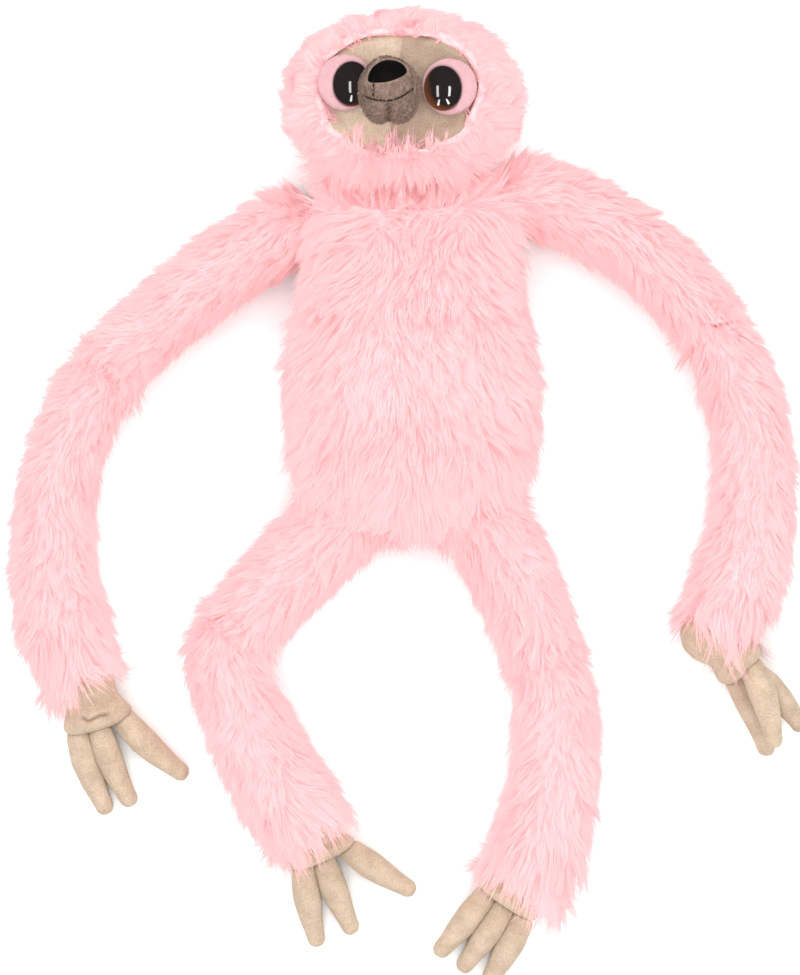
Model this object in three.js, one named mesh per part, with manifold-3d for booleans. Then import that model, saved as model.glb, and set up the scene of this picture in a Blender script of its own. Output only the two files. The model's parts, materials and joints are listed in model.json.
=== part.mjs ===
// A long-limbed plush sloth, lying on its back with its face up. Millimetres.
// +Z is up, +Y runs from the feet to the head, and the origin is where the middle of the back rests.
// Left and right are the toy's own, so its right arm and right leg lie towards -X.
// The outer surface of each furry piece is where most of its pile ends.
import * as THREE from "three";
import { mergeVertices } from "three/addons/utils/BufferGeometryUtils.js";
import Module from "manifold-3d";

const wasm = await Module();
wasm.setup();

// Fabric, seams and clearances
const pile_depth = 8;
const backing_thickness = 1.2;
const short_plush_thickness = 2;
const seam_gap = 0.3;
const swing_gap = 0.8;
const resting_flat_depth = 0.5;
const cut_overrun = 4;
const merge_tolerance = 0.0001;

// Torso
const torso_length = 212;
const torso_half_width = 71;
const torso_half_depth = 43;
const back_middle_share = 0.45;
const neck_radius = 24;
const neck_rise = 4;

// Head
const head_half_width = 67;
const head_half_length = 47;
const head_half_depth = 50;
const head_settle = 10;
const head_side_shift = 5;

// Face
const face_half_width = 41;
const face_half_length = 31;
const face_side_shift = 4;
const face_drop = 3;
const muzzle_half_width = 17;
const muzzle_half_length = 17.5;
const muzzle_half_depth = 21;
const muzzle_sink = 17;
const muzzle_side_shift = 3.5;
const muzzle_drop = 0.5;
const nose_half_width = 10.9;
const nose_half_length = 7.9;
const nose_thickness = 1.6;
const nose_rise = 9.3;
const nose_side_shift = 1.2;

// Eyes, their pads and their washers
const eye_spacing = 49;
const eye_side_shift = 0.8;
const right_eye_rise = 2.9;
const left_eye_rise = 0.3;
const eye_half_width = 10.2;
const eye_half_length = 12.2;
const eye_dome_height = 6;
const eye_flange_height = 2;
const eye_pad_radius = 15.5;
const eye_pad_height = 7;
const eye_pad_offset = 4;
const eye_pad_rise = 1.6;
const shank_radius = 2.4;
const shank_length = 17;
const washer_radius = 8;
const washer_thickness = 1.6;
const washer_bore_gap = 0.3;

// Arms. The shoulders lie shares of the way from the crotch to the neck.
const right_shoulder_share = 0.832;
const left_shoulder_share = 0.917;
const shoulder_stand_off = 12;
const upper_arm_length = 144;
const forearm_length = 170;
const shoulder_radius = 22.5;
const upper_arm_radius = 21;
const elbow_radius = 20.5;
const forearm_radius = 22;
const arm_cuff_radius = 26;
const arm_mouth_radius = 22;

// Legs
const hip_spacing = 82;
const hip_rise = 9;
const thigh_length = 97;
const shin_length = 115;
const hip_radius = 25.5;
const thigh_radius = 24;
const knee_radius = 22;
const shin_radius = 24;
const leg_cuff_radius = 27;
const leg_mouth_radius = 23;

// Hands, feet and claws
const wrist_radius = 16;
const hand_length = 29;
const foot_length = 19;
const hand_half_width = 20.5;
const hand_half_depth = 13.5;
const claw_length = 57;
const toe_claw_length = 52;
const claw_radius = 8.2;
const claw_tip_radius = 5.6;

// Where the limbs and claws swell, as shares of their lengths
const upper_swell_share = 0.5;
const lower_swell_share = 0.4;
const cuff_share = 0.84;
const claw_swell_share = 0.4;
const claw_taper_share = 0.92;

// How the claws sit on a hand: how far along it they start, and their roots' radius and spread across it
const claw_seat_share = 0.7;
const claw_base_share = 0.3;
const claw_spread_share = 0.57;

// How far along a claw it has come down to the table, and how blunt its end is
const claw_settle_share = 0.75;
const claw_point_share = 0.55;

// Furry skin thickness, from the mean end of the pile to the inside of the backing
const skin = pile_depth + backing_thickness;

// The torso's sections. Each row holds shares: how far along the torso it is from the crotch, then its half
// width, its half depth and the height of its middle.
const torso_shares = [
  [0, 0, 0, 0.55],
  [0.012, 0.4, 0.3, 0.58],
  [0.045, 0.66, 0.52, 0.66],
  [0.11, 0.86, 0.76, 0.8],
  [0.21, 0.96, 0.92, 0.94],
  [0.33, 1, 1, 1],
  [0.45, 1, 1, 1],
  [0.56, 0.93, 0.98, 0.99],
  [0.67, 0.88, 0.94, 0.96],
  [0.78, 0.86, 0.88, 0.92],
  [0.88, 0.83, 0.8, 0.87],
  [0.95, 0.72, 0.66, 0.82],
  [0.985, 0.5, 0.46, 0.78],
  [1, 0, 0, 0.76],
];

// The head's sections, from the chin to the crown, in the same four shares.
const head_shares = [
  [0, 0, 0, 0.94],
  [0.03, 0.4, 0.38, 0.95],
  [0.1, 0.72, 0.66, 0.97],
  [0.22, 0.92, 0.87, 1],
  [0.38, 1, 1, 1],
  [0.55, 0.99, 1, 1],
  [0.7, 0.92, 0.92, 1],
  [0.83, 0.77, 0.76, 0.98],
  [0.93, 0.53, 0.52, 0.96],
  [0.985, 0.26, 0.25, 0.95],
  [1, 0, 0, 0.94],
];

// A hand's sections beyond its ball: how far along the hand, then the share of its half width and depth.
const hand_shares = [
  [0.45, 0.75],
  [0.8, 1],
  [0.95, 0.86],
  [1, 0.6],
];

// Where a claw's rings lie along it
const claw_ring_shares = [0, 0.2, 0.42, 0.64, 0.84, 0.95, 1];

// A dome's points as shares of a quarter turn from its crown, with the rim first
const dome_shares = [1, 0.75, 0.5, 0.25];

// How far a limb's first dome ring lies from its pole, as a share of the step between rings
const dome_start_share = 0.35;

// How folded each joint is where its seat is cut
const held_shares = [0, 0.5, 1];

// How the limbs lie. Headings and turns are in degrees, anticlockwise seen from above. start is the heading
// at the shoulder or hip, the sweeps are how far each length curves, and bend and hand_turn are the turns at
// the joints. Each claw's fan is its heading from the hand's, from the one on the hand's left to the right.
// roll turns the hand on its edge.
const poses = {
  right_arm: {
    start: -150, upper_sweep: 20, bend: 12, lower_sweep: 53, hand_turn: -7,
    fan: [27, 3, 0], curl: 22, roll: 0,
  },
  left_arm: {
    start: -14, upper_sweep: -48, bend: -2, lower_sweep: -58, hand_turn: 80,
    fan: [-30, -4, -23], curl: -24, roll: 60,
  },
  right_leg: {
    start: -138, upper_sweep: 10, bend: 52, lower_sweep: 24, hand_turn: -14,
    fan: [31, -3, -14], curl: 12, roll: 0,
  },
  left_leg: {
    start: -59, upper_sweep: -16, bend: -4, lower_sweep: -38, hand_turn: -6,
    fan: [6, 0, -5], curl: -10, roll: 0,
  },
};

// How far each seam folds towards the toy's front, in degrees
const nod_range = 30;
const shoulder_range = 48;
const elbow_range = 35;
const wrist_range = 30;
const hip_range = 50;
const knee_range = 35;
const ankle_range = 25;
const eye_tilt = 5;

// Facets
const limb_sides = 12;
const limb_core_sides = 8;
const limb_rings = 5;
const dome_rings = 3;
const hand_ball_rings = 4;
const trunk_sides = 16;
const trunk_core_sides = 12;
const claw_sides = 8;
const ball_sides = 12;
const round_sides = 16;

const colours = {
  fur: 0xffc9cc,
  filling: 0xf4f1ec,
  beige: 0xdcc3a2,
  taupe: 0x8f8077,
  black: 0x17120f,
  pad: 0xf9c6dc,
  eye: 0x120c0a,
  washer: 0xe8e6e0,
};
const roughness = {
  fur: 0.95,
  filling: 1,
  beige: 0.9,
  taupe: 0.9,
  black: 0.5,
  pad: 0.8,
  eye: 0.06,
  washer: 0.5,
};

const radians = THREE.MathUtils.degToRad;
const sitting_axis = new THREE.Vector3(-1, 0, 0);

// A closed geometry as a solid that can be joined to others and cut by them
function solid(geometry) {
  const bare = geometry.clone();
  bare.deleteAttribute("normal");
  bare.deleteAttribute("uv");
  const merged = mergeVertices(bare, merge_tolerance);
  return new wasm.Manifold(
    new wasm.Mesh({
      numProp: 3,
      vertProperties: new Float32Array(merged.attributes.position.array),
      triVerts: new Uint32Array(merged.index.array),
    }),
  );
}

const joined = (pieces) => pieces.reduce((whole, piece) => whole.add(piece));
const cut_by = (piece, cutters) => cutters.reduce((left, cutter) => left.subtract(cutter), piece);

// A closed geometry through rings of points. The first and the last ring are closed by their middles.
function loft(rings) {
  const points = [];
  const faces = [];
  const sides = rings[0].length;
  const add = (p) => points.push(p.x, p.y, p.z) / 3 - 1;
  const first = add(middle(rings[0]));
  rings.forEach((ring) => ring.forEach(add));
  const last = add(middle(rings[rings.length - 1]));
  const at = (ring, side) => 1 + ring * sides + (side % sides);
  for (let k = 0; k < sides; k++) {
    faces.push(first, at(0, k + 1), at(0, k));
    for (let r = 0; r + 1 < rings.length; r++) {
      faces.push(at(r, k), at(r, k + 1), at(r + 1, k + 1));
      faces.push(at(r, k), at(r + 1, k + 1), at(r + 1, k));
    }
    faces.push(last, at(rings.length - 1, k), at(rings.length - 1, k + 1));
  }
  const geometry = new THREE.BufferGeometry();
  geometry.setAttribute("position", new THREE.Float32BufferAttribute(points, 3));
  geometry.setIndex(faces);
  return geometry;
}

function middle(ring) {
  return ring.reduce((sum, p) => sum.add(p), new THREE.Vector3()).divideScalar(ring.length);
}

// How high the middle of a flat-sided ring lies when its lowest side is pressed into the table.
function resting(half_height, sides) {
  return half_height * Math.cos(Math.PI / sides) - resting_flat_depth;
}

// The directions ahead, to the left and over the top of a level heading, rolled about it.
function directions(heading, roll = 0) {
  const ahead = new THREE.Vector3(Math.cos(heading), Math.sin(heading), 0);
  const left = new THREE.Vector3(-Math.sin(heading), Math.cos(heading), 0).applyAxisAngle(ahead, roll);
  return { ahead, left, over: ahead.clone().cross(left) };
}

// An ellipse of points about centre, square to a level heading.
function ellipse(centre, heading, half_width, half_height, sides, roll = 0) {
  const { left, over } = directions(heading, roll);
  return Array.from({ length: sides }, (_, k) => {
    const turn = (2 * Math.PI * (k + 0.5)) / sides;
    return centre
      .clone()
      .addScaledVector(left, half_width * Math.cos(turn))
      .addScaledVector(over, half_height * Math.sin(turn));
  });
}

// A ball about centre whose flat facets lie outside the true sphere.
function ball(centre, radius) {
  const outside = radius / Math.cos(Math.PI / ball_sides) ** 2;
  const sphere = new THREE.SphereGeometry(outside, ball_sides, ball_sides / 2);
  return solid(sphere.rotateX(Math.PI / 2).translate(centre.x, centre.y, centre.z));
}

// A geometry's copy, turned about a jointed piece's axis by an angle in degrees
function turned(form, { pivot, axis }, degrees) {
  return form
    .clone()
    .translate(-pivot.x, -pivot.y, -pivot.z)
    .applyMatrix4(new THREE.Matrix4().makeRotationAxis(axis, radians(degrees)))
    .translate(pivot.x, pivot.y, pivot.z);
}

// Everything under the surface that the toy lies on.
const reach = 2 * (torso_length + upper_arm_length + forearm_length + thigh_length + shin_length);
const table = solid(new THREE.BoxGeometry(reach, reach, reach).translate(0, 0, -reach / 2));
const on_table = (piece) => piece.subtract(table);

// The value at a share along rows of [share, value], eased from row to row.
function eased(rows, share) {
  const last = rows.length - 1;
  const next = share > rows[last][0] ? last : Math.max(1, rows.findIndex((row) => row[0] >= share));
  const [from, to] = [rows[next - 1], rows[next]];
  return from[1] + (to[1] - from[1]) * THREE.MathUtils.smoothstep(share, from[0], to[0]);
}

// The row of a table of shares at a share along it, straight from row to row
function row_at(shares, along) {
  const next = shares.findIndex((row) => row[0] >= along);
  const [from, to] = [shares[next - 1], shares[next]];
  return from.map((value, column) => THREE.MathUtils.mapLinear(along, from[0], to[0], value, to[column]));
}

// Where a level arc is after a distance, and its heading there.
function along_arc(start, heading, length, sweep, distance) {
  const turn = (sweep * distance) / length;
  const chord = turn === 0 ? distance : (2 * distance * Math.sin(turn / 2)) / turn;
  return {
    x: start.x + chord * Math.cos(heading + turn / 2),
    y: start.y + chord * Math.sin(heading + turn / 2),
    heading: heading + turn,
  };
}

// The form of one stuffed length of limb, from its joint's ball to the plane through the next joint. offset
// grows it, and overrun lengthens its far end. It lies on the table along its whole length.
function limb_form(part, offset, overrun = 0) {
  const rings = [];
  const sides = offset < 0 ? limb_core_sides : limb_sides;
  const { start, heading, length, sweep, radii } = part;
  const ring = (distance, scale) => {
    const at = along_arc(start, heading, length, sweep, distance);
    const radius = eased(radii, THREE.MathUtils.clamp(distance / length, 0, 1));
    const centre = new THREE.Vector3(at.x, at.y, resting(radius, limb_sides));
    const half = (radius + offset) * scale;
    rings.push(ellipse(centre, at.heading, half, half, sides));
  };
  const first_radius = radii[0][1] + offset;
  const pivot = new THREE.Vector3(start.x, start.y, resting(radii[0][1], limb_sides));
  const { ahead } = directions(heading);
  for (let k = 0; k < dome_rings; k++) {
    const turn = (Math.PI / 2) * ((k + dome_start_share) / dome_rings);
    const centre = pivot.clone().addScaledVector(ahead, -first_radius * Math.cos(turn));
    const half = first_radius * Math.sin(turn);
    rings.push(ellipse(centre, heading, half, half, sides));
  }
  for (let k = 0; k <= limb_rings; k++) {
    ring((length * k) / limb_rings, 1);
  }
  if (overrun) {
    const at = along_arc(start, heading, length, sweep, length);
    const radius = radii[radii.length - 1][1];
    const centre = new THREE.Vector3(at.x, at.y, resting(radius, limb_sides));
    centre.addScaledVector(directions(at.heading).ahead, overrun);
    rings.push(ellipse(centre, at.heading, radius + offset, radius + offset, sides));
  }
  return loft(rings);
}

// How high the middle of a rolled hand's knuckles lies, so that its lower edge rests on the table
function hand_middle({ roll }) {
  const [across, through] = [hand_half_width * Math.sin(roll), hand_half_depth * Math.cos(roll)];
  return resting(Math.hypot(across, through), limb_sides);
}

// A hand or foot: a ball in the cuff that widens to flat knuckles
function hand_form(hand, offset) {
  const { heading, length, pivot, roll } = hand;
  const rings = [];
  const { ahead } = directions(heading);
  const grown = wrist_radius + offset;
  for (let k = 0; k < hand_ball_rings; k++) {
    const turn = (Math.PI / 2) * ((k + dome_start_share) / dome_rings);
    const centre = pivot.clone().addScaledVector(ahead, -grown * Math.cos(turn));
    const half = grown * Math.sin(turn);
    rings.push(ellipse(centre, heading, half, half, limb_sides, roll));
  }
  for (const [along, size] of hand_shares) {
    const centre = pivot.clone().addScaledVector(ahead, (length + offset) * along);
    centre.z = hand_middle(hand);
    const [half_width, half_height] = [hand_half_width * size + offset, hand_half_depth * size + offset];
    rings.push(ellipse(centre, heading, half_width, half_height, limb_sides, roll));
  }
  return loft(rings);
}

// One claw: a tapering finger that curves from the knuckles down to the table
const claw_radii = [
  [0, hand_half_width * claw_base_share],
  [claw_swell_share, claw_radius],
  [claw_taper_share, claw_tip_radius],
];
function claw_form(hand, order, offset) {
  const { heading, length, claw, pivot, roll, fan, curl } = hand;
  const { ahead, left } = directions(heading, roll);
  const spread = hand_half_width * claw_spread_share;
  const aside = left.clone().multiplyScalar(spread * (1 - order));
  const base = pivot.clone().addScaledVector(ahead, length * claw_seat_share).add(aside);
  base.z = hand_middle(hand) + aside.z;
  const stacked = spread * Math.sin(roll) + aside.z;
  const from = heading + radians(fan[order] - curl / 2);
  const rings = claw_ring_shares.map((share, k) => {
    const tip = k === claw_ring_shares.length - 1;
    const at = along_arc(base, from, claw, radians(curl), claw * share);
    const radius = eased(claw_radii, share) * (tip ? claw_point_share : 1);
    const lying = resting(tip ? claw_tip_radius : radius, claw_sides);
    const settled = THREE.MathUtils.smoothstep(share, 0, claw_settle_share);
    const height = THREE.MathUtils.lerp(base.z, lying + stacked, settled);
    const centre = new THREE.Vector3(at.x, at.y, Math.max(height, lying));
    if (tip) {
      centre.x += offset * Math.cos(at.heading);
      centre.y += offset * Math.sin(at.heading);
    }
    return ellipse(centre, k ? at.heading : heading, radius + offset, radius + offset, claw_sides);
  });
  return loft(rings);
}

// The form through a trunk's sections, laid along +Y from a foot point
function trunk(shares, foot, length, half_width, half_depth, inset) {
  const sides = inset > 0 ? trunk_core_sides : trunk_sides;
  const grown = { length: length - 2 * inset, width: half_width - inset, depth: half_depth - inset };
  const back_to_middle = resting(half_depth, trunk_sides);
  const middle_at = (along, high) =>
    new THREE.Vector3(foot.x, foot.y + inset + grown.length * along, high * back_to_middle);
  const rings = shares.slice(1, -1).map(([along, wide, deep, high]) => {
    const centre = middle_at(along, high);
    return ellipse(centre, Math.PI / 2, grown.width * wide, grown.depth * deep, sides);
  });
  const poles = [shares[0], shares[shares.length - 1]].map(([along, , , high]) => middle_at(along, high));
  const geometry = loft(rings);
  const position = geometry.attributes.position;
  position.setXYZ(0, poles[0].x, poles[0].y, poles[0].z);
  position.setXYZ(position.count - 1, poles[1].x, poles[1].y, poles[1].z);
  return geometry;
}

const crotch = new THREE.Vector3(0, -torso_length * back_middle_share, 0);
const torso_top = crotch.y + torso_length;
const torso_solid = (inset) =>
  solid(trunk(torso_shares, crotch, torso_length, torso_half_width, torso_half_depth, inset));
const chin = new THREE.Vector3(-head_side_shift, torso_top - head_settle, 0);
const head_form = (inset) =>
  trunk(head_shares, chin, 2 * head_half_length, head_half_width, head_half_depth, inset);
const head_solid = (inset) => solid(head_form(inset));
const neck = new THREE.Vector3(
  -head_side_shift / 2,
  torso_top + neck_rise,
  torso_half_depth * torso_shares[torso_shares.length - 1][3],
);

// The limbs, each as two stuffed lengths and a hand, worked out from the joint where it starts
const arm_radii = {
  upper: [[0, shoulder_radius], [upper_swell_share, upper_arm_radius], [1, elbow_radius]],
  lower: [
    [0, elbow_radius],
    [lower_swell_share, forearm_radius],
    [cuff_share, arm_cuff_radius],
    [1, arm_mouth_radius],
  ],
};
const leg_radii = {
  upper: [[0, hip_radius], [upper_swell_share, thigh_radius], [1, knee_radius]],
  lower: [
    [0, knee_radius],
    [lower_swell_share, shin_radius],
    [cuff_share, leg_cuff_radius],
    [1, leg_mouth_radius],
  ],
};
const root_of = {
  arm(out) {
    const shoulder_share = out > 0 ? left_shoulder_share : right_shoulder_share;
    const half_width = torso_half_width * row_at(torso_shares, shoulder_share)[1];
    return { x: out * (half_width + shoulder_stand_off), y: crotch.y + torso_length * shoulder_share };
  },
  leg: (out) => ({ x: (out * hip_spacing) / 2, y: crotch.y + hip_rise }),
};
function limb(side, kind) {
  const pose = poses[side + "_" + kind];
  const arm = kind === "arm";
  const root = root_of[kind](side === "left" ? 1 : -1);
  const radii = arm ? arm_radii : leg_radii;
  const upper = {
    name: side + (arm ? "_upper_arm" : "_thigh"),
    joint: side + (arm ? "_shoulder" : "_hip"),
    range: arm ? shoulder_range : hip_range,
    start: root,
    heading: radians(pose.start),
    length: arm ? upper_arm_length : thigh_length,
    sweep: radians(pose.upper_sweep),
    radii: radii.upper,
  };
  const elbow = along_arc(root, upper.heading, upper.length, upper.sweep, upper.length);
  const lower = {
    name: side + (arm ? "_forearm" : "_shin"),
    joint: side + (arm ? "_elbow" : "_knee"),
    range: arm ? elbow_range : knee_range,
    start: elbow,
    heading: elbow.heading + radians(pose.bend),
    length: arm ? forearm_length : shin_length,
    sweep: radians(pose.lower_sweep),
    radii: radii.lower,
  };
  const wrist = along_arc(elbow, lower.heading, lower.length, lower.sweep, lower.length);
  const hand = {
    name: side + (arm ? "_hand" : "_foot"),
    joint: side + (arm ? "_wrist" : "_ankle"),
    range: arm ? wrist_range : ankle_range,
    start: wrist,
    heading: wrist.heading + radians(pose.hand_turn),
    length: arm ? hand_length : foot_length,
    claw: arm ? claw_length : toe_claw_length,
    fan: pose.fan,
    curl: pose.curl,
    roll: radians(pose.roll),
  };
  const ball_radii = [radii.upper[0][1], radii.lower[0][1], wrist_radius];
  for (const [order, part] of [upper, lower, hand].entries()) {
    const radius = ball_radii[order];
    part.pivot = new THREE.Vector3(part.start.x, part.start.y, resting(radius, limb_sides));
    part.axis = arm ? new THREE.Vector3(Math.sin(part.heading), -Math.cos(part.heading), 0) : sitting_axis;
    part.ball_radius = radius;
  }
  upper.forms = (offset) => [limb_form(upper, offset)];
  lower.forms = (offset) => [limb_form(lower, offset)];
  const outer_claws = (offset) => [0, 2].map((order) => claw_form(hand, order, offset));
  hand.forms = (offset) => [hand_form(hand, offset), ...outer_claws(offset)];
  return { upper, lower, hand };
}

// The space that a jointed piece passes through as it folds
function folding(part) {
  const held_at = (share) => (form) => solid(turned(form, part, part.range * share));
  return joined(held_shares.flatMap((share) => part.forms(swing_gap).map(held_at(share))));
}

// The seat that a limb's piece turns in: the space for its ball and for the piece as it folds
function seat_of(part) {
  return joined([ball(part.pivot, part.ball_radius + swing_gap), folding(part)]);
}

// Each furry length is a skin with an open far end, round a filling that fits it.
function stuffed_length(part, next) {
  const seat = seat_of(next);
  const cavity = solid(limb_form(part, -skin, cut_overrun));
  return {
    skin: cut_by(on_table(solid(limb_form(part, 0))), [cavity, seat]),
    filling: cut_by(solid(limb_form(part, -skin - seam_gap)), [seat]),
  };
}

const root = new THREE.Group();
root.userData.joints = [];

function place(name, piece, finish) {
  const mesh = piece.getMesh();
  const geometry = new THREE.BufferGeometry();
  geometry.setAttribute("position", new THREE.Float32BufferAttribute(mesh.vertProperties, mesh.numProp));
  geometry.setIndex(new THREE.Uint32BufferAttribute(mesh.triVerts, 1));
  geometry.computeVertexNormals();
  const material = new THREE.MeshStandardMaterial({
    color: colours[finish],
    roughness: roughness[finish],
    metalness: 0,
  });
  const made = new THREE.Mesh(geometry, material);
  made.name = name;
  made.userData.finish = finish;
  root.add(made);
}

function note_joint(part, parent) {
  root.userData.joints.push({
    name: part.joint,
    parent,
    child: part.name,
    pivot: part.pivot.toArray(),
    axis: part.axis.toArray(),
    range: part.range,
  });
}

// Limbs
const limbs = [limb("right", "arm"), limb("left", "arm"), limb("right", "leg"), limb("left", "leg")];
for (const { upper, lower, hand } of limbs) {
  for (const [part, next] of [[upper, lower], [lower, hand]]) {
    const made = stuffed_length(part, next);
    place(part.name + "_skin", made.skin, "fur");
    place(part.name + "_filling", made.filling, "filling");
  }
  const knuckles = solid(hand_form(hand, seam_gap));
  const between = solid(claw_form(hand, 1, seam_gap));
  place(hand.name, on_table(solid(hand_form(hand, 0))), "beige");
  ["inner", "middle", "outer"].forEach((claw, order) => {
    const whole = cut_by(on_table(solid(claw_form(hand, order, 0))), [knuckles]);
    place(hand.name + "_" + claw + "_claw", order === 1 ? whole : whole.subtract(between), "beige");
  });
  note_joint(upper, "torso");
  note_joint(lower, upper.name);
  note_joint(hand, lower.name);
}

// Head, swinging on the stuffed neck that stands out of the torso
const nod = {
  name: "head",
  joint: "neck",
  range: nod_range,
  pivot: neck,
  axis: new THREE.Vector3(1, 0, 0),
  forms: (offset) => [head_form(-offset)],
};
const neck_hole = ball(neck, neck_radius + swing_gap);
const face_middle = new THREE.Vector3(
  chin.x - face_side_shift,
  chin.y + head_half_length - face_drop,
  2 * head_half_depth - skin,
);

// An oval bar through the head's front, square to the table
function oval_bar(foot, half_width, half_length) {
  const bar = new THREE.CylinderGeometry(1, 1, 2 * head_half_depth, 2 * round_sides).rotateX(Math.PI / 2);
  return solid(bar.scale(half_width, half_length, 1).translate(foot.x, foot.y, foot.z + head_half_depth));
}
const face_foot = new THREE.Vector3(face_middle.x, face_middle.y, head_half_depth);
const face_bar = (inset) => oval_bar(face_foot, face_half_width - inset, face_half_length - inset);

// A form lathed about the axis of an eye, whose origin is where the eye meets its pad
function lathed(points) {
  const profile = points.map(([r, z]) => new THREE.Vector2(r, z));
  return new THREE.LatheGeometry(profile, round_sides).rotateX(Math.PI / 2);
}

const rod = (radius, bottom, top) => lathed([[0, bottom], [radius, bottom], [radius, top], [0, top]]);

// A dome's profile from its rim, at a height, to its crown
function dome(radius, rise, rim) {
  const points = dome_shares.map((share) => {
    const turn = (Math.PI / 2) * share;
    return [radius * Math.sin(turn), rim + rise * Math.cos(turn)];
  });
  return [...points, [0, rim + rise]];
}

// An eye's lens and its shank. grown makes the hole that they sit in.
function eye_forms(grown) {
  const radius = eye_half_length + grown;
  const crown = dome(radius, eye_dome_height + grown, eye_flange_height);
  const lens = lathed([[0, -grown], [radius, -grown], ...crown]);
  lens.scale((eye_half_width + grown) / radius, 1, 1);
  return [lens, rod(shank_radius + grown, -shank_length - grown, eye_flange_height / 2)];
}

const washer_top = -eye_flange_height - short_plush_thickness - eye_pad_height / 2;
const washer_bottom = washer_top - washer_thickness;
function washer_form() {
  const bore = shank_radius + washer_bore_gap;
  const foot = [bore, washer_bottom];
  const [low_rim, high_rim] = [washer_bottom, washer_top].map((z) => [washer_radius, z]);
  return lathed([foot, low_rim, high_rim, [bore, washer_top], foot]);
}
const washer_space = () => rod(washer_radius + seam_gap, washer_bottom - seam_gap, washer_top + seam_gap);

function pad_form() {
  const crown = dome(eye_pad_radius, eye_pad_height / 2, 0);
  return lathed([[0, -eye_pad_height], [eye_pad_radius, -eye_pad_height], ...crown]);
}

// The way through the fur in which a pad sits
const pad_bore = () => rod(eye_pad_radius + seam_gap, -eye_pad_height - seam_gap, 2 * skin);

// The height of the filling's surface under a point of the face
function face_height_at(x, y) {
  const [half_width, half_depth] = [head_half_width - skin, head_half_depth - skin];
  const [, wide, deep, high] = row_at(head_shares, (y - chin.y - skin) / (2 * (head_half_length - skin)));
  const across = (x - chin.x) / (half_width * wide);
  return high * resting(head_half_depth, trunk_sides) + half_depth * deep * Math.sqrt(1 - across * across);
}

// Each eye's own way of standing a form on the face
const eyes = ["right", "left"].map((side) => {
  const out = side === "left" ? 1 : -1;
  const x = face_middle.x + eye_side_shift + (out * eye_spacing) / 2;
  const y = face_middle.y + (side === "left" ? left_eye_rise : right_eye_rise);
  const z = face_height_at(x, y) + short_plush_thickness + eye_pad_height / 2;
  const stand = (form, aside = 0, rise = 0) =>
    solid(form.translate(out * aside, rise, 0).rotateY(out * radians(eye_tilt)).translate(x, y, z));
  return { side, stand };
});

const head_cavity = head_solid(skin);
const panel_outside = head_solid(skin - short_plush_thickness);
const muzzle_middle = new THREE.Vector3(
  face_middle.x - muzzle_side_shift,
  face_middle.y - muzzle_drop,
  face_middle.z + muzzle_half_depth - muzzle_sink,
);
function muzzle_solid(offset) {
  const shape = new THREE.SphereGeometry(1, round_sides, round_sides / 2).rotateX(Math.PI / 2);
  shape.scale(muzzle_half_width + offset, muzzle_half_length + offset, muzzle_half_depth + offset);
  return solid(shape.translate(muzzle_middle.x, muzzle_middle.y, muzzle_middle.z));
}
const nose_foot = muzzle_middle.clone().add(new THREE.Vector3(-nose_side_shift, nose_rise, 0));
const nose_bar = oval_bar(nose_foot, nose_half_width, nose_half_length);
const nose_space = muzzle_solid(nose_thickness).subtract(muzzle_solid(-nose_thickness)).intersect(nose_bar);
const nose = muzzle_solid(nose_thickness - seam_gap).subtract(muzzle_solid(seam_gap)).intersect(nose_bar);

const panel_space = head_solid(skin - short_plush_thickness - seam_gap);
let head_skin = cut_by(on_table(head_solid(0)), [head_cavity, neck_hole, face_bar(0)]);
let head_filling = head_solid(skin + seam_gap).subtract(neck_hole);
let face_panel = panel_outside.intersect(face_bar(seam_gap)).subtract(head_cavity);
let muzzle = muzzle_solid(0).subtract(panel_space);
for (const { side, stand } of eyes) {
  const stand_all = (forms) => joined(forms.map((form) => stand(form)));
  const eye_space = stand_all(eye_forms(seam_gap));
  const holes = [eye_space, stand(washer_space())];
  head_filling = cut_by(head_filling, holes);
  face_panel = cut_by(face_panel, holes);
  muzzle = muzzle.subtract(eye_space);
  head_skin = head_skin.subtract(stand(pad_bore(), eye_pad_offset, eye_pad_rise));
  const whole_pad = stand(pad_form(), eye_pad_offset, eye_pad_rise);
  const pad = cut_by(whole_pad, [panel_space, eye_space, muzzle_solid(seam_gap)]);
  place(side + "_eye", stand_all(eye_forms(0)), "eye");
  place(side + "_eye_washer", stand(washer_form()), "washer");
  place(side + "_eye_pad", pad, "pad");
}
place("head_skin", head_skin, "fur");
place("head_filling", head_filling, "filling");
place("face_panel", face_panel, "beige");
place("muzzle", muzzle.subtract(nose_space), "taupe");
place("nose", nose, "black");
note_joint(nod, "torso");

// Torso, with a seat for each limb and the stuffed neck that carries the head
const seats = [...limbs.map(({ upper }) => seat_of(upper)), folding(nod)];
const neck_space = ball(neck, neck_radius + seam_gap);
const torso_skin = cut_by(on_table(torso_solid(0)), [torso_solid(skin), neck_space, ...seats]);
const torso_filling = cut_by(torso_solid(skin + seam_gap), seats);
const neck_ball = solid(
  new THREE.SphereGeometry(neck_radius, ball_sides, ball_sides / 2).translate(neck.x, neck.y, neck.z),
);
place("torso_skin", torso_skin, "fur");
place("torso_filling", torso_filling.add(neck_ball), "filling");

export default root;
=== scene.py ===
"""The look of a pink, long-limbed plush sloth that lies on its back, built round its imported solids.

Lengths are in metres. +Z is up, +Y runs from the feet to the head, and left and right are the toy's own.
"""
import sys
import json
import logging
import math
from collections.abc import Callable, Sequence
from dataclasses import dataclass, field
from enum import Enum
from typing import Any

import bmesh
import bpy
import numpy as np
from mathutils import Matrix, Vector
from mathutils.bvhtree import BVHTree

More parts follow.
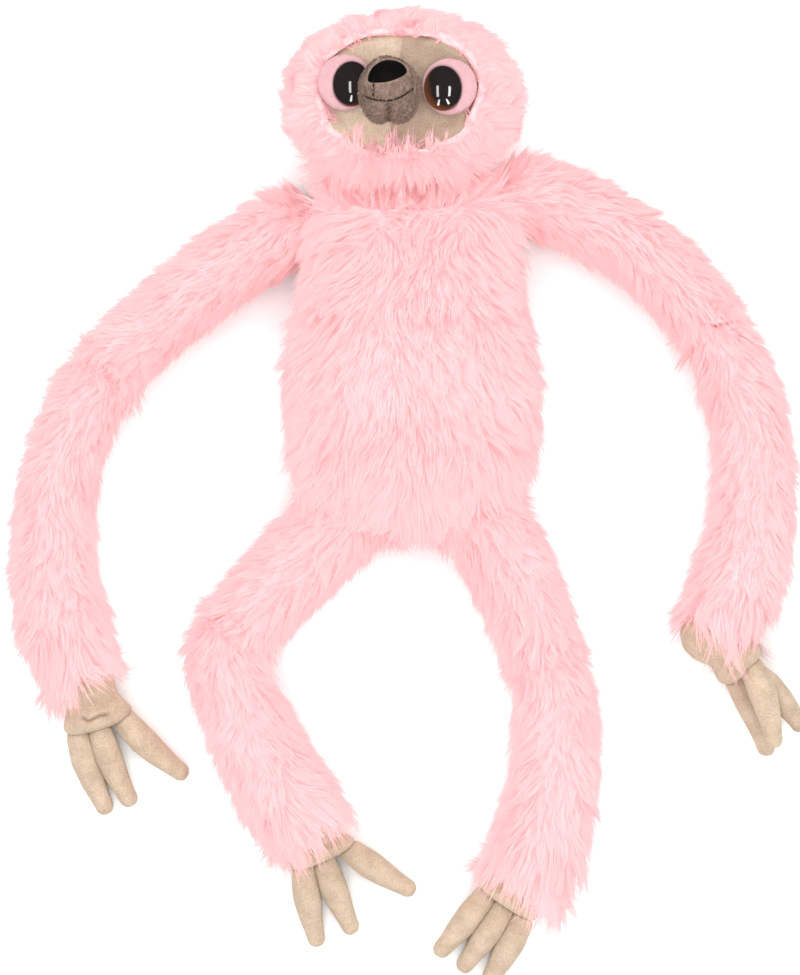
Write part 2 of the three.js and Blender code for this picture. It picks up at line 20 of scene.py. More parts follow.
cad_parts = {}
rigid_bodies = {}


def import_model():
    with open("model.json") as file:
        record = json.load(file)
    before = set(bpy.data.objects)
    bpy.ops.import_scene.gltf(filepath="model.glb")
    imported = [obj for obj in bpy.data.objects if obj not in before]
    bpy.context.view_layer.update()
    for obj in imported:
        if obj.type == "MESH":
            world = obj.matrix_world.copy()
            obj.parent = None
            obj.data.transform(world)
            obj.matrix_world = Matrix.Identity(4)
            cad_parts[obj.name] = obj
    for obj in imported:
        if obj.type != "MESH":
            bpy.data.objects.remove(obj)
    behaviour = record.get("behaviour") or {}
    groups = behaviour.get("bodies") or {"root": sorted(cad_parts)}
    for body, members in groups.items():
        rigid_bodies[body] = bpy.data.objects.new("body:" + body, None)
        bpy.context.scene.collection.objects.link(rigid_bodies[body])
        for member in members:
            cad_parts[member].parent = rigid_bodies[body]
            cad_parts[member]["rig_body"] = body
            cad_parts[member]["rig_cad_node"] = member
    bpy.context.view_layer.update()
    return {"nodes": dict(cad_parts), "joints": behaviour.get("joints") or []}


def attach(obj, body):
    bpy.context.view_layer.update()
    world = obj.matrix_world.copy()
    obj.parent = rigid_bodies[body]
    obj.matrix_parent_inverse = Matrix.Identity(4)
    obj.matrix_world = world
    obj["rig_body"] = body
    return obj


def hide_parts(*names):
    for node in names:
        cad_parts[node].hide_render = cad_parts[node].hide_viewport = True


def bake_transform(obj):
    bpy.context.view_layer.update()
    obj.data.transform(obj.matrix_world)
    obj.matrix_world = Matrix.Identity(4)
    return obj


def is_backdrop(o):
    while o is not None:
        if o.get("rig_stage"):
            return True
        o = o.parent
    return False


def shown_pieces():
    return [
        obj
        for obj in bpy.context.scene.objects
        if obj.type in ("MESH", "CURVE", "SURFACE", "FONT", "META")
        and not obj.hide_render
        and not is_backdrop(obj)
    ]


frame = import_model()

log = logging.getLogger("sloth")

MM = 0.001
MERGE_DISTANCE = 0.01 * MM
FLOOR_CLEARANCE = 0.3 * MM
PALETTE_MAP = "OFBake"
EVERYWHERE = (-10.0, 10.0)
Colour = tuple[float, float, float]
Pixel = tuple[float, float]
Array = np.ndarray
Mesh = bpy.types.Mesh
Piece = bpy.types.Object
Socket = bpy.types.NodeSocket
Comb = Callable[[Array, Array], dict[str, Array]]


class Side(Enum):
    """One of the toy's sides, with the way that it lies along X."""

    RIGHT = -1
    LEFT = 1

    @property
    def word(self) -> str:
        """The side's name as the solids spell it."""
        return self.name.lower()


class Kind(Enum):
    """A kind of limb, with the names of its three bodies and their joints."""

    ARM = (("upper_arm", "forearm", "hand"), ("shoulder", "elbow", "wrist"))
    LEG = (("thigh", "shin", "foot"), ("hip", "knee", "ankle"))

    @property
    def lengths(self) -> tuple[str, str, str]:
        """The bodies from the torso outwards."""
        return self.value[0]

    @property
    def joints(self) -> tuple[str, str, str]:
        """The joints from the torso outwards."""
        return self.value[1]


def rgba(colour: Colour) -> tuple[float, float, float, float]:
    """A colour with full opacity."""
    return (*colour, 1.0)


def add_object(name: str, mesh: Mesh) -> Piece:
    """Links a mesh into the scene.

    Args:
        name: The object's and the mesh's name.
        mesh: The mesh to show.

    Returns:
        The new object, at the origin.
    """
    mesh.name = name
    made = bpy.data.objects.new(name, mesh)
    bpy.context.scene.collection.objects.link(made)
    return made


def mesh_of(name: str, points: Any, faces: Sequence[Sequence[int]]) -> Mesh:
    """A smooth-shaded mesh.

    Args:
        name: The mesh's name.
        points: The places of its vertices.
        faces: The vertices round each face.

    Returns:
        The mesh.
    """
    made = bpy.data.meshes.new(name)
    made.from_pydata([tuple(map(float, p)) for p in points], [], [tuple(map(int, f)) for f in faces])
    made.shade_smooth()
    return made


def settled(body: Piece) -> None:
    """Turns an object's evaluated shape into its plain mesh and drops its modifiers.

    Args:
        body: The object.
    """
    graph = bpy.context.evaluated_depsgraph_get()
    shape = bpy.data.meshes.new_from_object(
        body.evaluated_get(graph), preserve_all_data_layers=True, depsgraph=graph
    )
    old, body.data = body.data, shape
    shape.name = body.name
    body.modifiers.clear()
    if not old.users:
        bpy.data.meshes.remove(old)


def rows_of(items: Any, key: str) -> Array:
    """The vectors that some items hold under a key, one row each.

    Args:
        items: A mesh's collection of items.
        key: What each holds its vector under.

    Returns:
        The vectors.
    """
    found = np.empty(len(items) * 3, np.float32)
    items.foreach_get(key, found)
    return found.reshape(-1, 3)


def points_of(mesh: Mesh) -> Array:
    """The places of a mesh's vertices, one row each."""
    return rows_of(mesh.vertices, "co").astype(float)


def normals_of(mesh: Mesh) -> Array:
    """The directions in which a mesh's vertices face, one row each."""
    return rows_of(mesh.vertex_normals, "vector").astype(float)


def put_points(mesh: Mesh, places: Array) -> None:
    """Moves a mesh's vertices.

    Args:
        mesh: The mesh.
        places: Their new places, one row each.
    """
    mesh.vertices.foreach_set("co", places.astype(np.float32).ravel())
    mesh.update()


def put_numbers(mesh: Mesh, name: str, values: Array) -> None:
    """Stores a number or a vector at each vertex.

    Args:
        mesh: The mesh.
        name: The attribute's name.
        values: One number or one row for each vertex.
    """
    kind, part = ("FLOAT_VECTOR", "vector") if values.ndim == 2 else ("FLOAT", "value")
    attribute = mesh.attributes.get(name) or mesh.attributes.new(name, kind, "POINT")
    attribute.data.foreach_set(part, values.astype(np.float32).ravel())


def unit(rows: Array) -> Array:
    """Rows of vectors, each made one long."""
    return rows / np.maximum(np.linalg.norm(rows, axis=1, keepdims=True), 1e-9)


def eased(values: Array, low: float, high: float) -> Array:
    """Smooth steps from 0 at low to 1 at high."""
    share = np.clip((values - low) / (high - low), 0.0, 1.0)
    return share * share * (3 - 2 * share)


def band_of(low: int, high: int, count: int) -> list[list[int]]:
    """The faces between two rings of vertices.

    Args:
        low: The first vertex of one ring.
        high: The first vertex of the other.
        count: How many vertices each ring has.

    Returns:
        The vertices round each face.
    """
    pairs = [(side, (side + 1) % count) for side in range(count)]
    return [[low + side, low + after, high + after, high + side] for side, after in pairs]


class Tree:
    """A node tree under construction."""

    def __init__(self, tree: bpy.types.NodeTree) -> None:
        """Starts from an empty tree."""
        self.tree = tree

    def add(self, kind: str, sockets: dict[int | str, Any] | None = None, **settings: Any) -> bpy.types.Node:
        """Adds a node.

        Args:
            kind: The node's type.
            sockets: Each input's value, or the output that feeds it.
            settings: The node's own options.

        Returns:
            The node.
        """
        node = self.tree.nodes.new(kind)
        for key, value in settings.items():
            setattr(node, key, value)
        for key, value in (sockets or {}).items():
            if isinstance(value, Socket):
                self.tree.links.new(value, node.inputs[key])
            else:
                node.inputs[key].default_value = value
        return node

    def math(self, operation: str, *values: Any) -> Socket:
        """The result of a sum on numbers."""
        return self.add("ShaderNodeMath", dict(enumerate(values)), operation=operation).outputs[0]

    def vector(self, operation: str, *values: Any) -> Socket:
        """The vector that a sum on vectors gives."""
        return self.add("ShaderNodeVectorMath", dict(enumerate(values)), operation=operation).outputs[0]

    def scaled(self, vector: Socket, size: Any) -> Socket:
        """A vector times a number."""
        return self.add("ShaderNodeVectorMath", {0: vector, "Scale": size}, operation="SCALE").outputs[0]

    def length(self, vector: Socket) -> Socket:
        """How long a vector is."""
        return self.add("ShaderNodeVectorMath", {0: vector}, operation="LENGTH").outputs["Value"]

    def split(self, vector: Socket) -> list[Socket]:
        """A vector's three numbers."""
        return list(self.add("ShaderNodeSeparateXYZ", {0: vector}).outputs)

    def packed(self, *numbers: Any) -> Socket:
        """A vector made of numbers."""
        return self.add("ShaderNodeCombineXYZ", dict(enumerate(numbers))).outputs[0]

    def blended(self, share: Any, first: Any, second: Any) -> Socket:
        """A vector between two others."""
        sockets = {"Factor": share, 4: first, 5: second}
        return self.add("ShaderNodeMix", sockets, data_type="VECTOR").outputs[1]

    def tinted(self, share: Any, first: Any, second: Any, how: str = "MIX") -> Socket:
        """A colour mixed from two others."""
        sockets = {"Factor": share, 6: first, 7: second}
        return self.add("ShaderNodeMix", sockets, data_type="RGBA", blend_type=how).outputs[2]

    def deepened(self, colour: Socket, mark: str, shade: Colour) -> Socket:
        """A colour darkened by a painted shade where the mesh holds a mark."""
        marked = self.add("ShaderNodeAttribute", attribute_name=mark).outputs["Fac"]
        return self.tinted(marked, colour, self.tinted(1.0, colour, rgba(shade), "MULTIPLY"))

    def ramp(self, share: Any, stops: Sequence[tuple[float, Colour]]) -> Socket:
        """A colour from a run of stops.

        Args:
            share: Where along the run.
            stops: Each stop's place and colour.

        Returns:
            The colour.
        """
        node = self.add("ShaderNodeValToRGB", {0: share})
        elements = node.color_ramp.elements
        elements[0].position, elements[1].position = stops[0][0], stops[-1][0]
        elements[0].color, elements[1].color = rgba(stops[0][1]), rgba(stops[-1][1])
        for place, colour in stops[1:-1]:
            elements.new(place).color = rgba(colour)
        return node.outputs[0]

    def patches(self, share: Any, dark: Colour, light: Colour, spread: float = 0.15) -> Socket:
        """A colour that runs from dark to light over the middle of a share."""
        return self.ramp(share, [(0.5 - spread, dark), (0.5 + spread, light)])

    def noise(self, place: Any, scale: float, detail: float, output: str = "Fac") -> Socket:
        """Noise over a run of places."""
        sockets = {"Vector": place, "Scale": scale, "Detail": detail}
        return self.add("ShaderNodeTexNoise", sockets).outputs[output]

    def drift(self, place: Any, scale: float, detail: float) -> Socket:
        """Noise as a vector that strays from nothing by up to a half each way."""
        return self.vector("SUBTRACT", self.noise(place, scale, detail, "Color"), (0.5, 0.5, 0.5))

    def bumps(self, strength: float, distance: float, height: Any) -> Socket:
        """The normal of a surface that is rough by a height."""
        sockets = {"Strength": strength, "Distance": distance, "Height": height}
        return self.add("ShaderNodeBump", sockets).outputs[0]

    def place(self) -> Socket:
        """Where each point is."""
        return self.add("GeometryNodeInputPosition").outputs[0]

    def named(self, name: str, kind: str = "FLOAT") -> Socket:
        """What a mesh holds under a name."""
        return self.add("GeometryNodeInputNamedAttribute", {"Name": name}, data_type=kind).outputs[0]

    def stored(
        self, geometry: Any, name: str, value: Any, kind: str = "FLOAT", domain: str = "POINT"
    ) -> Socket:
        """A geometry that holds a value under a name."""
        sockets = {"Geometry": geometry, "Name": name, "Value": value}
        return self.add("GeometryNodeStoreNamedAttribute", sockets, data_type=kind, domain=domain).outputs[0]

    def chance(self, low: float, high: float, seed: Any) -> Socket:
        """A random number for each point."""
        return self.add("FunctionNodeRandomValue", {2: low, 3: high, "Seed": seed}).outputs[1]


def new_group(name: str, inputs: dict[str, str]) -> Tree:
    """Starts a group of Geometry Nodes.

    Args:
        name: Its name.
        inputs: Its inputs beside the geometry, with their kinds.

    Returns:
        Its tree, with nothing in it.
    """
    group = bpy.data.node_groups.new(name, "GeometryNodeTree")
    for label, kind in ({"Geometry": "Geometry"} | inputs).items():
        group.interface.new_socket(label, in_out="INPUT", socket_type=f"NodeSocket{kind}")
    group.interface.new_socket("Geometry", in_out="OUTPUT", socket_type="NodeSocketGeometry")
    return Tree(group)


def run_group(piece: Piece, group: bpy.types.NodeTree, values: dict[str, Any]) -> None:
    """Turns a piece into what a group of Geometry Nodes makes of it.

    Args:
        piece: The piece.
        group: The group.
        values: The values of its inputs, by their names.
    """
    modifier = piece.modifiers.new(group.name, "NODES")
    modifier.node_group = group
    for socket in group.interface.items_tree:
        if socket.in_out == "INPUT" and socket.name in values:
            modifier[socket.identifier] = values[socket.name]
    settled(piece)


@dataclass(frozen=True)
class Finish:
    """What every finish has: a name, how rough it is and how strong the sheen of its pile."""

    name: str = "finish"
    slot: str = "pink_plush"
    roughness: float = 0.9
    sheen: float = 0.0
    specular: float = 0.15

    def colour(self, tree: Tree) -> Socket:
        """The surface's colour. Each finish has its own."""
        raise NotImplementedError

    def relief(self, tree: Tree) -> Socket | None:
        """The surface's bumps, or nothing where it has none."""
        return None

    def gloss(self, shader: bpy.types.Node) -> None:
        """Sets whatever else the shader needs."""

    def material(self) -> bpy.types.Material:
        """The finish's material, made once.

        Returns:
            The material.
        """
        found = bpy.data.materials.get(self.name)
        if found:
            return found
        made = bpy.data.materials.new(self.name)
        made.use_nodes = True
        tree = Tree(made.node_tree)
        shader = made.node_tree.nodes["Principled BSDF"]
        made.node_tree.links.new(self.colour(tree), shader.inputs["Base Color"])
        bumps = self.relief(tree)
        if bumps:
            made.node_tree.links.new(bumps, shader.inputs["Normal"])
        shader.inputs["Roughness"].default_value = self.roughness
        shader.inputs["Sheen Weight"].default_value = self.sheen
        shader.inputs["Sheen Roughness"].default_value = 0.5
        shader.inputs["Specular IOR Level"].default_value = self.specular
        self.gloss(shader)
        return made

    def dress(self, piece: Piece) -> None:
        """Gives a piece this finish alone.

        Args:
            piece: The piece.
        """
        piece.data.materials.clear()
        piece.data.materials.append(self.material())

    def speckle(self, tree: Tree, size: float, detail: float = 2.0) -> Socket:
        """Noise whose grains are about a size across."""
        return tree.noise(tree.add("ShaderNodeTexCoord").outputs["Object"], 1 / size, detail)


@dataclass(frozen=True)
class Fur(Finish):
    """Long pile: deeper at its roots as painted shade for the depth of the pile, and each lock a little
    paler or deeper than the next.
    """

    # The root colour is deeper than the tip's: painted shade for the pile's depth, since the pile casts no
    # shadows of its own.
    root: Colour = (0.95, 0.505, 0.52)
    middle: Colour = (0.95, 0.535, 0.55)
    tip: Colour = (0.95, 0.56, 0.57)
    deep: Colour = (1.0, 0.92, 0.925)
    pale: Colour = (1.0, 1.0, 1.0)

    def colour(self, tree: Tree) -> Socket:
        """Runs along each strand by the palette map's height, deeper towards the root as painted shade, and
        from lock to lock by its width, which also carries the coat's painted light.

        Args:
            tree: The tree that it is made in.

        Returns:
            The colour.
        """
        across, up, _ = tree.split(tree.add("ShaderNodeUVMap", uv_map=PALETTE_MAP).outputs[0])
        # Painted shade: each strand deepens towards its root.
        along = tree.ramp(up, [(0.0, self.root), (0.45, self.middle), (0.9, self.tip)])
        lock = tree.ramp(across, [(0.05, self.deep), (0.9, self.pale)])
        return tree.tinted(1.0, along, lock, "MULTIPLY")


@dataclass(frozen=True)
class ShortPlush(Finish):
    """Short brushed pile, lighter and darker where it has been stroked."""

    light: Colour = (0.585, 0.455, 0.34)
    dark: Colour = (0.47, 0.36, 0.26)
    grain: float = 0.8 * MM
    patch: float = 9 * MM
    contrast: float = 0.6
    depth: float = 0.5 * MM
    # Painted shade in the hollows between the pile's tips, where the bumps run low.
    hollow: Colour = (0.6, 0.6, 0.6)
    # Painted shade in the creases and clefts that grooves press in.
    crease: Colour = (0.5, 0.44, 0.4)

    def colour(self, tree: Tree) -> Socket:
        """Fine grains, darkened towards their hollows as painted shade, over broad strokes; darker still, as
        painted shade, where the mesh is marked as creased.

        Args:
            tree: The tree that it is made in.

        Returns:
            The colour.
        """
        strokes = tree.patches(self.speckle(tree, self.patch), self.dark, self.light, 0.2)
        # Painted shade: the grains darken where the bump's noise is low.
        grains = tree.patches(self.speckle(tree, self.grain), self.hollow, (1.0, 1.0, 1.0))
        plush = tree.tinted(self.contrast, strokes, grains, "MULTIPLY")
        # Painted shade: darker where the mesh holds its crease mark.
        return tree.deepened(plush, "crease", self.crease)

    def relief(self, tree: Tree) -> Socket:
        """The tips of the pile."""
        return tree.bumps(0.7, self.depth, self.speckle(tree, self.grain, 3.0))


@dataclass(frozen=True)
class SeamedPlush(ShortPlush):
    """Short pile in two panels: one side of a seam lies the other way, and a painted shade darkens it."""

    # Painted shade for the far panel, whose pile, lying the other way, reflects less light.
    shade: Colour = (0.73, 0.69, 0.685)

    def colour(self, tree: Tree) -> Socket:
        """The pile, darkened by a painted shade where the mesh is marked as the far panel."""
        return tree.deepened(ShortPlush.colour(self, tree), "far_panel", self.shade)


@dataclass(frozen=True)
class EyePlastic(Finish):
    """A clear glossy dome over a black pupil and a brown iris with fine rays."""

    pupil: Colour = (0.016, 0.0125, 0.0125)
    inner: Colour = (0.06, 0.02, 0.009)
    outer: Colour = (0.20, 0.065, 0.022)

    def colour(self, tree: Tree) -> Socket:
        """Rings about the pupil's middle, which the eye's own map puts at its origin.

        Args:
            tree: The tree that it is made in.

        Returns:
            The colour.
        """
        spot = tree.add("ShaderNodeUVMap", uv_map="iris").outputs[0]
        rays = tree.math("MULTIPLY", tree.math("SUBTRACT", tree.noise(spot, 9.0, 4.0), 0.5), 0.05)
        wavy = tree.math("MULTIPLY", tree.math("ADD", tree.length(spot), rays), 0.5)
        rings = [(0.0, self.pupil), (0.49, self.pupil), (0.53, self.inner), (0.75, self.outer)]
        return tree.ramp(wavy, rings)

    def gloss(self, shader: bpy.types.Node) -> None:
        """A hard clear coat.

        Args:
            shader: The shader.
        """
        shader.inputs["Coat Weight"].default_value = 1.0
        shader.inputs["Coat Roughness"].default_value = 0.02
        shader.inputs["Coat IOR"].default_value = 1.45


@dataclass(frozen=True)
class Mottled(Finish):
    """One colour with faint patches and, where it has a weave, its fine bumps."""

    light: Colour = (0.5, 0.5, 0.5)
    dark: Colour = (0.45, 0.45, 0.45)
    grain: float = 1.0 * MM
    weave: float = 0.0
    strength: float = 0.6
    depth: float = 0.6 * MM
    detail: float = 2.0

    def colour(self, tree: Tree) -> Socket:
        """Faint patches."""
        return tree.patches(self.speckle(tree, self.grain), self.dark, self.light)

    def relief(self, tree: Tree) -> Socket | None:
        """The weave, where there is one."""
        weave = self.speckle(tree, self.weave, self.detail) if self.weave else None
        return tree.bumps(self.strength, self.depth, weave) if weave else None


FUR = Fur("pink_fur", "pink_plush", 0.85, 0.06)
# The fuzz's roots are much darker than its tips: partly the muzzle's grizzled tone, partly painted shade in
# the depth of the fuzz.
FUZZ = Fur(
    "taupe_fuzz", "taupe_short_plush", 0.9, 0.0,
    root=(0.13, 0.082, 0.064), middle=(0.31, 0.205, 0.16), tip=(0.50, 0.355, 0.29), deep=(0.5, 0.5, 0.5),
)
BACKING = Mottled(
    "pink_backing", "pink_plush", 1.0, 0.05, light=(0.95, 0.56, 0.58), dark=(0.95, 0.49, 0.51),
    grain=2.5 * MM, weave=0.9 * MM,
)
BEIGE = ShortPlush("beige_pile", "beige_short_plush", 0.95, 0.08)
FACE_BEIGE = SeamedPlush(
    "beige_face_pile", "beige_short_plush", 0.95, 0.08, light=(0.61, 0.485, 0.37), dark=(0.49, 0.38, 0.28),
)
TAUPE = ShortPlush(
    "taupe_pile", "taupe_short_plush", 0.95, 0.05,
    light=(0.35, 0.24, 0.19), dark=(0.225, 0.15, 0.117), patch=4 * MM, contrast=0.9, depth=0.8 * MM,
)
VELOUR = ShortPlush(
    "nose_pile", "black_velour", 0.8, 0.0, 0.03,
    light=(0.007, 0.0055, 0.005), dark=(0.0035, 0.003, 0.003), grain=0.5 * MM, contrast=0.4, depth=0.2 * MM,
)
SATIN = Mottled(
    "lilac_satin", "pink_satin", 0.8, 0.1, light=(0.57, 0.342, 0.362), dark=(0.535, 0.305, 0.33),
    grain=4 * MM, weave=0.35 * MM, strength=0.25, depth=0.15 * MM, detail=1.0,
)
EYE = EyePlastic("domed_eye", "eye_plastic", 0.08, 0.0, 0.3)
THREAD = Mottled(
    "dark_thread", "black_velour", 0.7, 0.0, light=(0.02, 0.015, 0.013), dark=(0.008, 0.006, 0.006),
)
WASHER = Mottled(
    "moulded_washer", "washer_plastic", 0.45, 0.0, 0.5, light=(0.8, 0.79, 0.76), dark=(0.74, 0.73, 0.7),
)
FLOOR = Mottled("pale_floor", "pink_plush", 0.9, 0.0, light=(0.93,) * 3, dark=(0.92,) * 3, grain=40 * MM)


@dataclass(frozen=True)
class Lamp:
    """A rectangular light: one that lights the toy, or one that is only mirrored in its eyes."""

    name: str
    place: tuple[float, float, float]
    width: float
    height: float
    power: float
    mirrored: bool = False
    pitch: float = 0.0
    roll: float = 0.0

    def build(self) -> None:
        """Hangs the light, which faces down before it is tipped."""
        data = bpy.data.lights.new(self.name, "AREA")
        data.shape = "RECTANGLE"
        data.size, data.size_y, data.energy = self.width, self.height, self.power
        lamp = bpy.data.objects.new(self.name, data)
        lamp.location = self.place
        lamp.rotation_euler = (math.radians(self.pitch), math.radians(self.roll), 0.0)
        lamp.visible_glossy, lamp.visible_diffuse = self.mirrored, not self.mirrored
        bpy.context.scene.collection.objects.link(lamp)


LAMPS = (
    Lamp("key", (0.0, 0.0, 2.2), 2.0, 2.0, 32.0),
    Lamp("left_fill", (-1.5, -0.05, 1.1), 1.2, 1.2, 14.5, roll=-55.0),
    Lamp("right_fill", (1.5, -0.05, 1.1), 1.2, 1.2, 14.5, roll=55.0),
    Lamp("back_fill", (0.0, 1.5, 1.1), 1.2, 1.2, 16.0, pitch=-55.0),
    Lamp("front_fill", (0.0, -1.6, 1.1), 1.2, 1.2, 14.5, pitch=55.0),
    Lamp("near_softbox", (-0.40, 0.0, 1.5), 0.27, 0.92, 8.5, True),
    Lamp("far_softbox", (1.10, 0.0, 1.5), 0.40, 0.92, 18.0, True),
    Lamp("near_window", (-0.26, -0.8, 1.2), 0.20, 0.85, 8.0, True, 90.0),
    Lamp("far_window", (0.78, -0.8, 1.2), 0.25, 0.85, 12.0, True, 90.0),
)


@dataclass
class Studio:
    """The camera over the toy, the pale floor and soft light all round."""

    middle: Pixel = (400.0, 487.5)
    frame_height: float = 975.0
    camera_place: tuple[float, float, float] = (-0.00672, -0.0658, 1.8)
    lens: float = 116.0
    sensor: float = 36.0
    floor_size: float = 6.0
    sky: float = 0.4

    def build(self) -> None:
        """Makes the camera, the floor, the lights and the sky."""
        scene = bpy.context.scene
        data = bpy.data.cameras.new("camera")
        data.lens, data.sensor_width, data.clip_end = self.lens, self.sensor, 50.0
        camera = bpy.data.objects.new("camera", data)
        camera.location = self.camera_place
        scene.collection.objects.link(camera)
        scene.camera = camera
        scene.view_settings.view_transform = "Standard"
        self.floor()
        for lamp in LAMPS:
            lamp.build()
        world = bpy.data.worlds.new("studio")
        scene.world = world
        world.use_nodes = True
        ground = world.node_tree.nodes["Background"].inputs
        ground["Color"].default_value = (1.0, 1.0, 1.0, 1.0)
        ground["Strength"].default_value = self.sky
        world.cycles_visibility.glossy = False

    def floor(self) -> None:
        """Lays the floor."""
        half = self.floor_size / 2
        corners = [(-half, -half, 0), (half, -half, 0), (half, half, 0), (-half, half, 0)]
        floor = add_object("floor", mesh_of("floor", corners, [(0, 1, 2, 3)]))
        floor.data.materials.append(FLOOR.material())
        floor.visible_glossy = False
        floor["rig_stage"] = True

    def spot(self, pixel: Pixel, height: float) -> Vector:
        """Where the photograph's pixel lies at a height above the floor.

        Args:
            pixel: The pixel, counted from the top left.
            height: The height.

        Returns:
            The place.
        """
        scale = (self.camera_place[2] - height) * self.sensor / self.lens / self.frame_height
        return Vector((
            self.camera_place[0] + (pixel[0] - self.middle[0]) * scale,
            self.camera_place[1] - (pixel[1] - self.middle[1]) * scale,
            height,
        ))

    def on_surface(self, pixel: Pixel, surface: BVHTree) -> tuple[Vector, Vector]:
        """Where the photograph's pixel meets a surface.

        Args:
            pixel: The pixel.
            surface: The surface.

        Returns:
            The place and the surface's normal there.
        """
        eye = Vector(self.camera_place)
        place, normal, _, _ = surface.ray_cast(eye, (self.spot(pixel, 0.0) - eye).normalized())
        if place is None:
            raise ValueError(f"pixel {pixel} misses the surface")
        return place, normal


@dataclass
class Skin:
    """One closed smooth surface drawn round some solids."""

    name: str
    nodes: Sequence[str]
    voxel: float = 3.5 * MM
    rounds: int = 12

    def build(self) -> Piece:
        """Joins the solids and closes them into one surface.

        Returns:
            The skin.
        """
        joined = bmesh.new()
        for node in self.nodes:
            joined.from_mesh(frame["nodes"][node].data)
        bmesh.ops.remove_doubles(joined, verts=joined.verts, dist=MERGE_DISTANCE)
        mesh = bpy.data.meshes.new(self.name)
        joined.to_mesh(mesh)
        joined.free()
        body = add_object(self.name, mesh)
        close = body.modifiers.new("close", "REMESH")
        close.mode = "VOXEL"
        close.voxel_size = self.voxel
        soften = body.modifiers.new("soften", "SMOOTH")
        soften.factor = 0.5
        soften.iterations = self.rounds
        settled(body)
        self.keep_largest(body.data)
        body.data.shade_smooth()
        return body

    def keep_largest(self, mesh: Mesh) -> None:
        """Drops any closed hollow left inside the surface.

        Args:
            mesh: The skin's mesh.
        """
        shape = bmesh.new()
        shape.from_mesh(mesh)
        shape.verts.ensure_lookup_table()
        left = set(shape.verts)
        islands = []
        while left:
            island = {left.pop()}
            waiting = list(island)
            while waiting:
                vertex = waiting.pop()
                near = {e.other_vert(vertex) for e in vertex.link_edges} & left
                left -= near
                island |= near
                waiting.extend(near)
            islands.append(island)
        islands.sort(key=len)
        spare = [v for island in islands[:-1] for v in island]
        if spare:
            log.info("%s: %d vertices of inner hollows dropped", self.name, len(spare))
            bmesh.ops.delete(shape, geom=spare, context="VERTS")
        shape.to_mesh(mesh)
        shape.free()


def faces_of(meshes: Sequence[Mesh]) -> BVHTree:
    """Some meshes' faces, ready for measuring.

    Args:
        meshes: The meshes.

    Returns:
        Their faces in one searchable set.
    """
    points: list[tuple[float, ...]] = []
    faces: list[tuple[int, ...]] = []
    for mesh in meshes:
        start = len(points)
        points += [tuple(v.co) for v in mesh.vertices]
        faces += [tuple(start + i for i in p.vertices) for p in mesh.polygons]
    return BVHTree.FromPolygons(points, faces)


def pivot_of(joint: str) -> Vector:
    """Where a joint turns."""
    return Vector(next(j["pos_m"] for j in frame["joints"] if j["name"] == joint))


@dataclass
class LockShapes:
    """A few locks of pile, each one long along X, which are planted many times over."""

    kinds: int = 3
    strands: int = 6
    rings: tuple[float, ...] = (0.0, 0.55)
    radii: tuple[float, ...] = (0.5, 0.42)
    sides: int = 3
    root_spread: float = 3.2
    tip_spread: float = 2.6
    arch: float = 2.4
    sway: float = 2.0
    shortest: float = 0.6
    side_tint: float = 0.15
    tip_tint: float = 0.1
    seed: int = 5
    made: bpy.types.Collection | None = None

    def build(self) -> bpy.types.Collection:
        """Makes the locks, once, in a collection that isn't shown.

        Returns:
            The collection.
        """
        if self.made is None:
            rng = np.random.default_rng(self.seed)
            self.made = bpy.data.collections.new("locks")
            for kind in range(self.kinds):
                self.made.objects.link(bpy.data.objects.new(f"lock_{kind}", self.lock(rng)))
        return self.made

    def lock(self, rng: np.random.Generator) -> Mesh:
        """Makes one lock: strands that stand apart at their roots and meet towards their tips.

        Args:
            rng: Where its numbers come from.

        Returns:
            The lock's mesh.
        """
        points: list[list[float]] = []
        faces: list[list[int]] = []
        along: list[float] = []
        tints: list[float] = []
        for strand in range(self.strands):
            root = rng.uniform(-1, 1, 2) * self.root_spread
            tip = rng.uniform(-1, 1, 2) * self.tip_spread
            reach = rng.uniform(self.shortest, 1.0)
            turn = rng.uniform(0, math.tau)
            sway = rng.uniform(-1, 1) * self.sway
            first = len(points)
            for place, radius in zip(self.rings, self.radii):
                middle = root + (tip - root) * place
                middle += np.array((sway, self.arch)) * math.sin(math.pi * place)
                for side in range(self.sides):
                    angle = turn + math.tau * side / self.sides
                    y, z = middle[0] + radius * math.cos(angle), middle[1] + radius * math.sin(angle)
                    points.append([place * reach, y, z])
                    along.append(place)
                    tints.append(strand / self.strands + self.side_tint * side)
            points.append([reach, *tip])
            along.append(1.0)
            tints.append(strand / self.strands + self.tip_tint)
            faces += self.skin(first)
        made = mesh_of("lock", points, faces)
        put_numbers(made, "along", np.array(along))
        put_numbers(made, "side", np.array(tints))
        return made

    def skin(self, first: int) -> list[list[int]]:
        """Lists the faces of one strand.

        Args:
            first: The strand's first vertex.

        Returns:
            The vertices round each face, seen from outside.
        """
        count = self.sides
        top = first + (len(self.rings) - 1) * count
        faces = [[first + i for i in reversed(range(count))]]
        for low in range(first, top, count):
            faces += band_of(low, low + count, count)
        return faces + [[top + side, top + (side + 1) % count, top + count] for side in range(count)]


@dataclass(frozen=True)
class Pile:
    """How pile stands on a coat."""

    density: float = 168_000.0
    spacing: float = 7 * MM
    length: float = 18.5 * MM
    width: float = 0.45 * MM
    lift: float = math.radians(40)
    gather: float = 0.45
    swirl: float = 1.3
    wave: float = 4.5 * MM
    softness: float = 0.9
    seed: int = 1


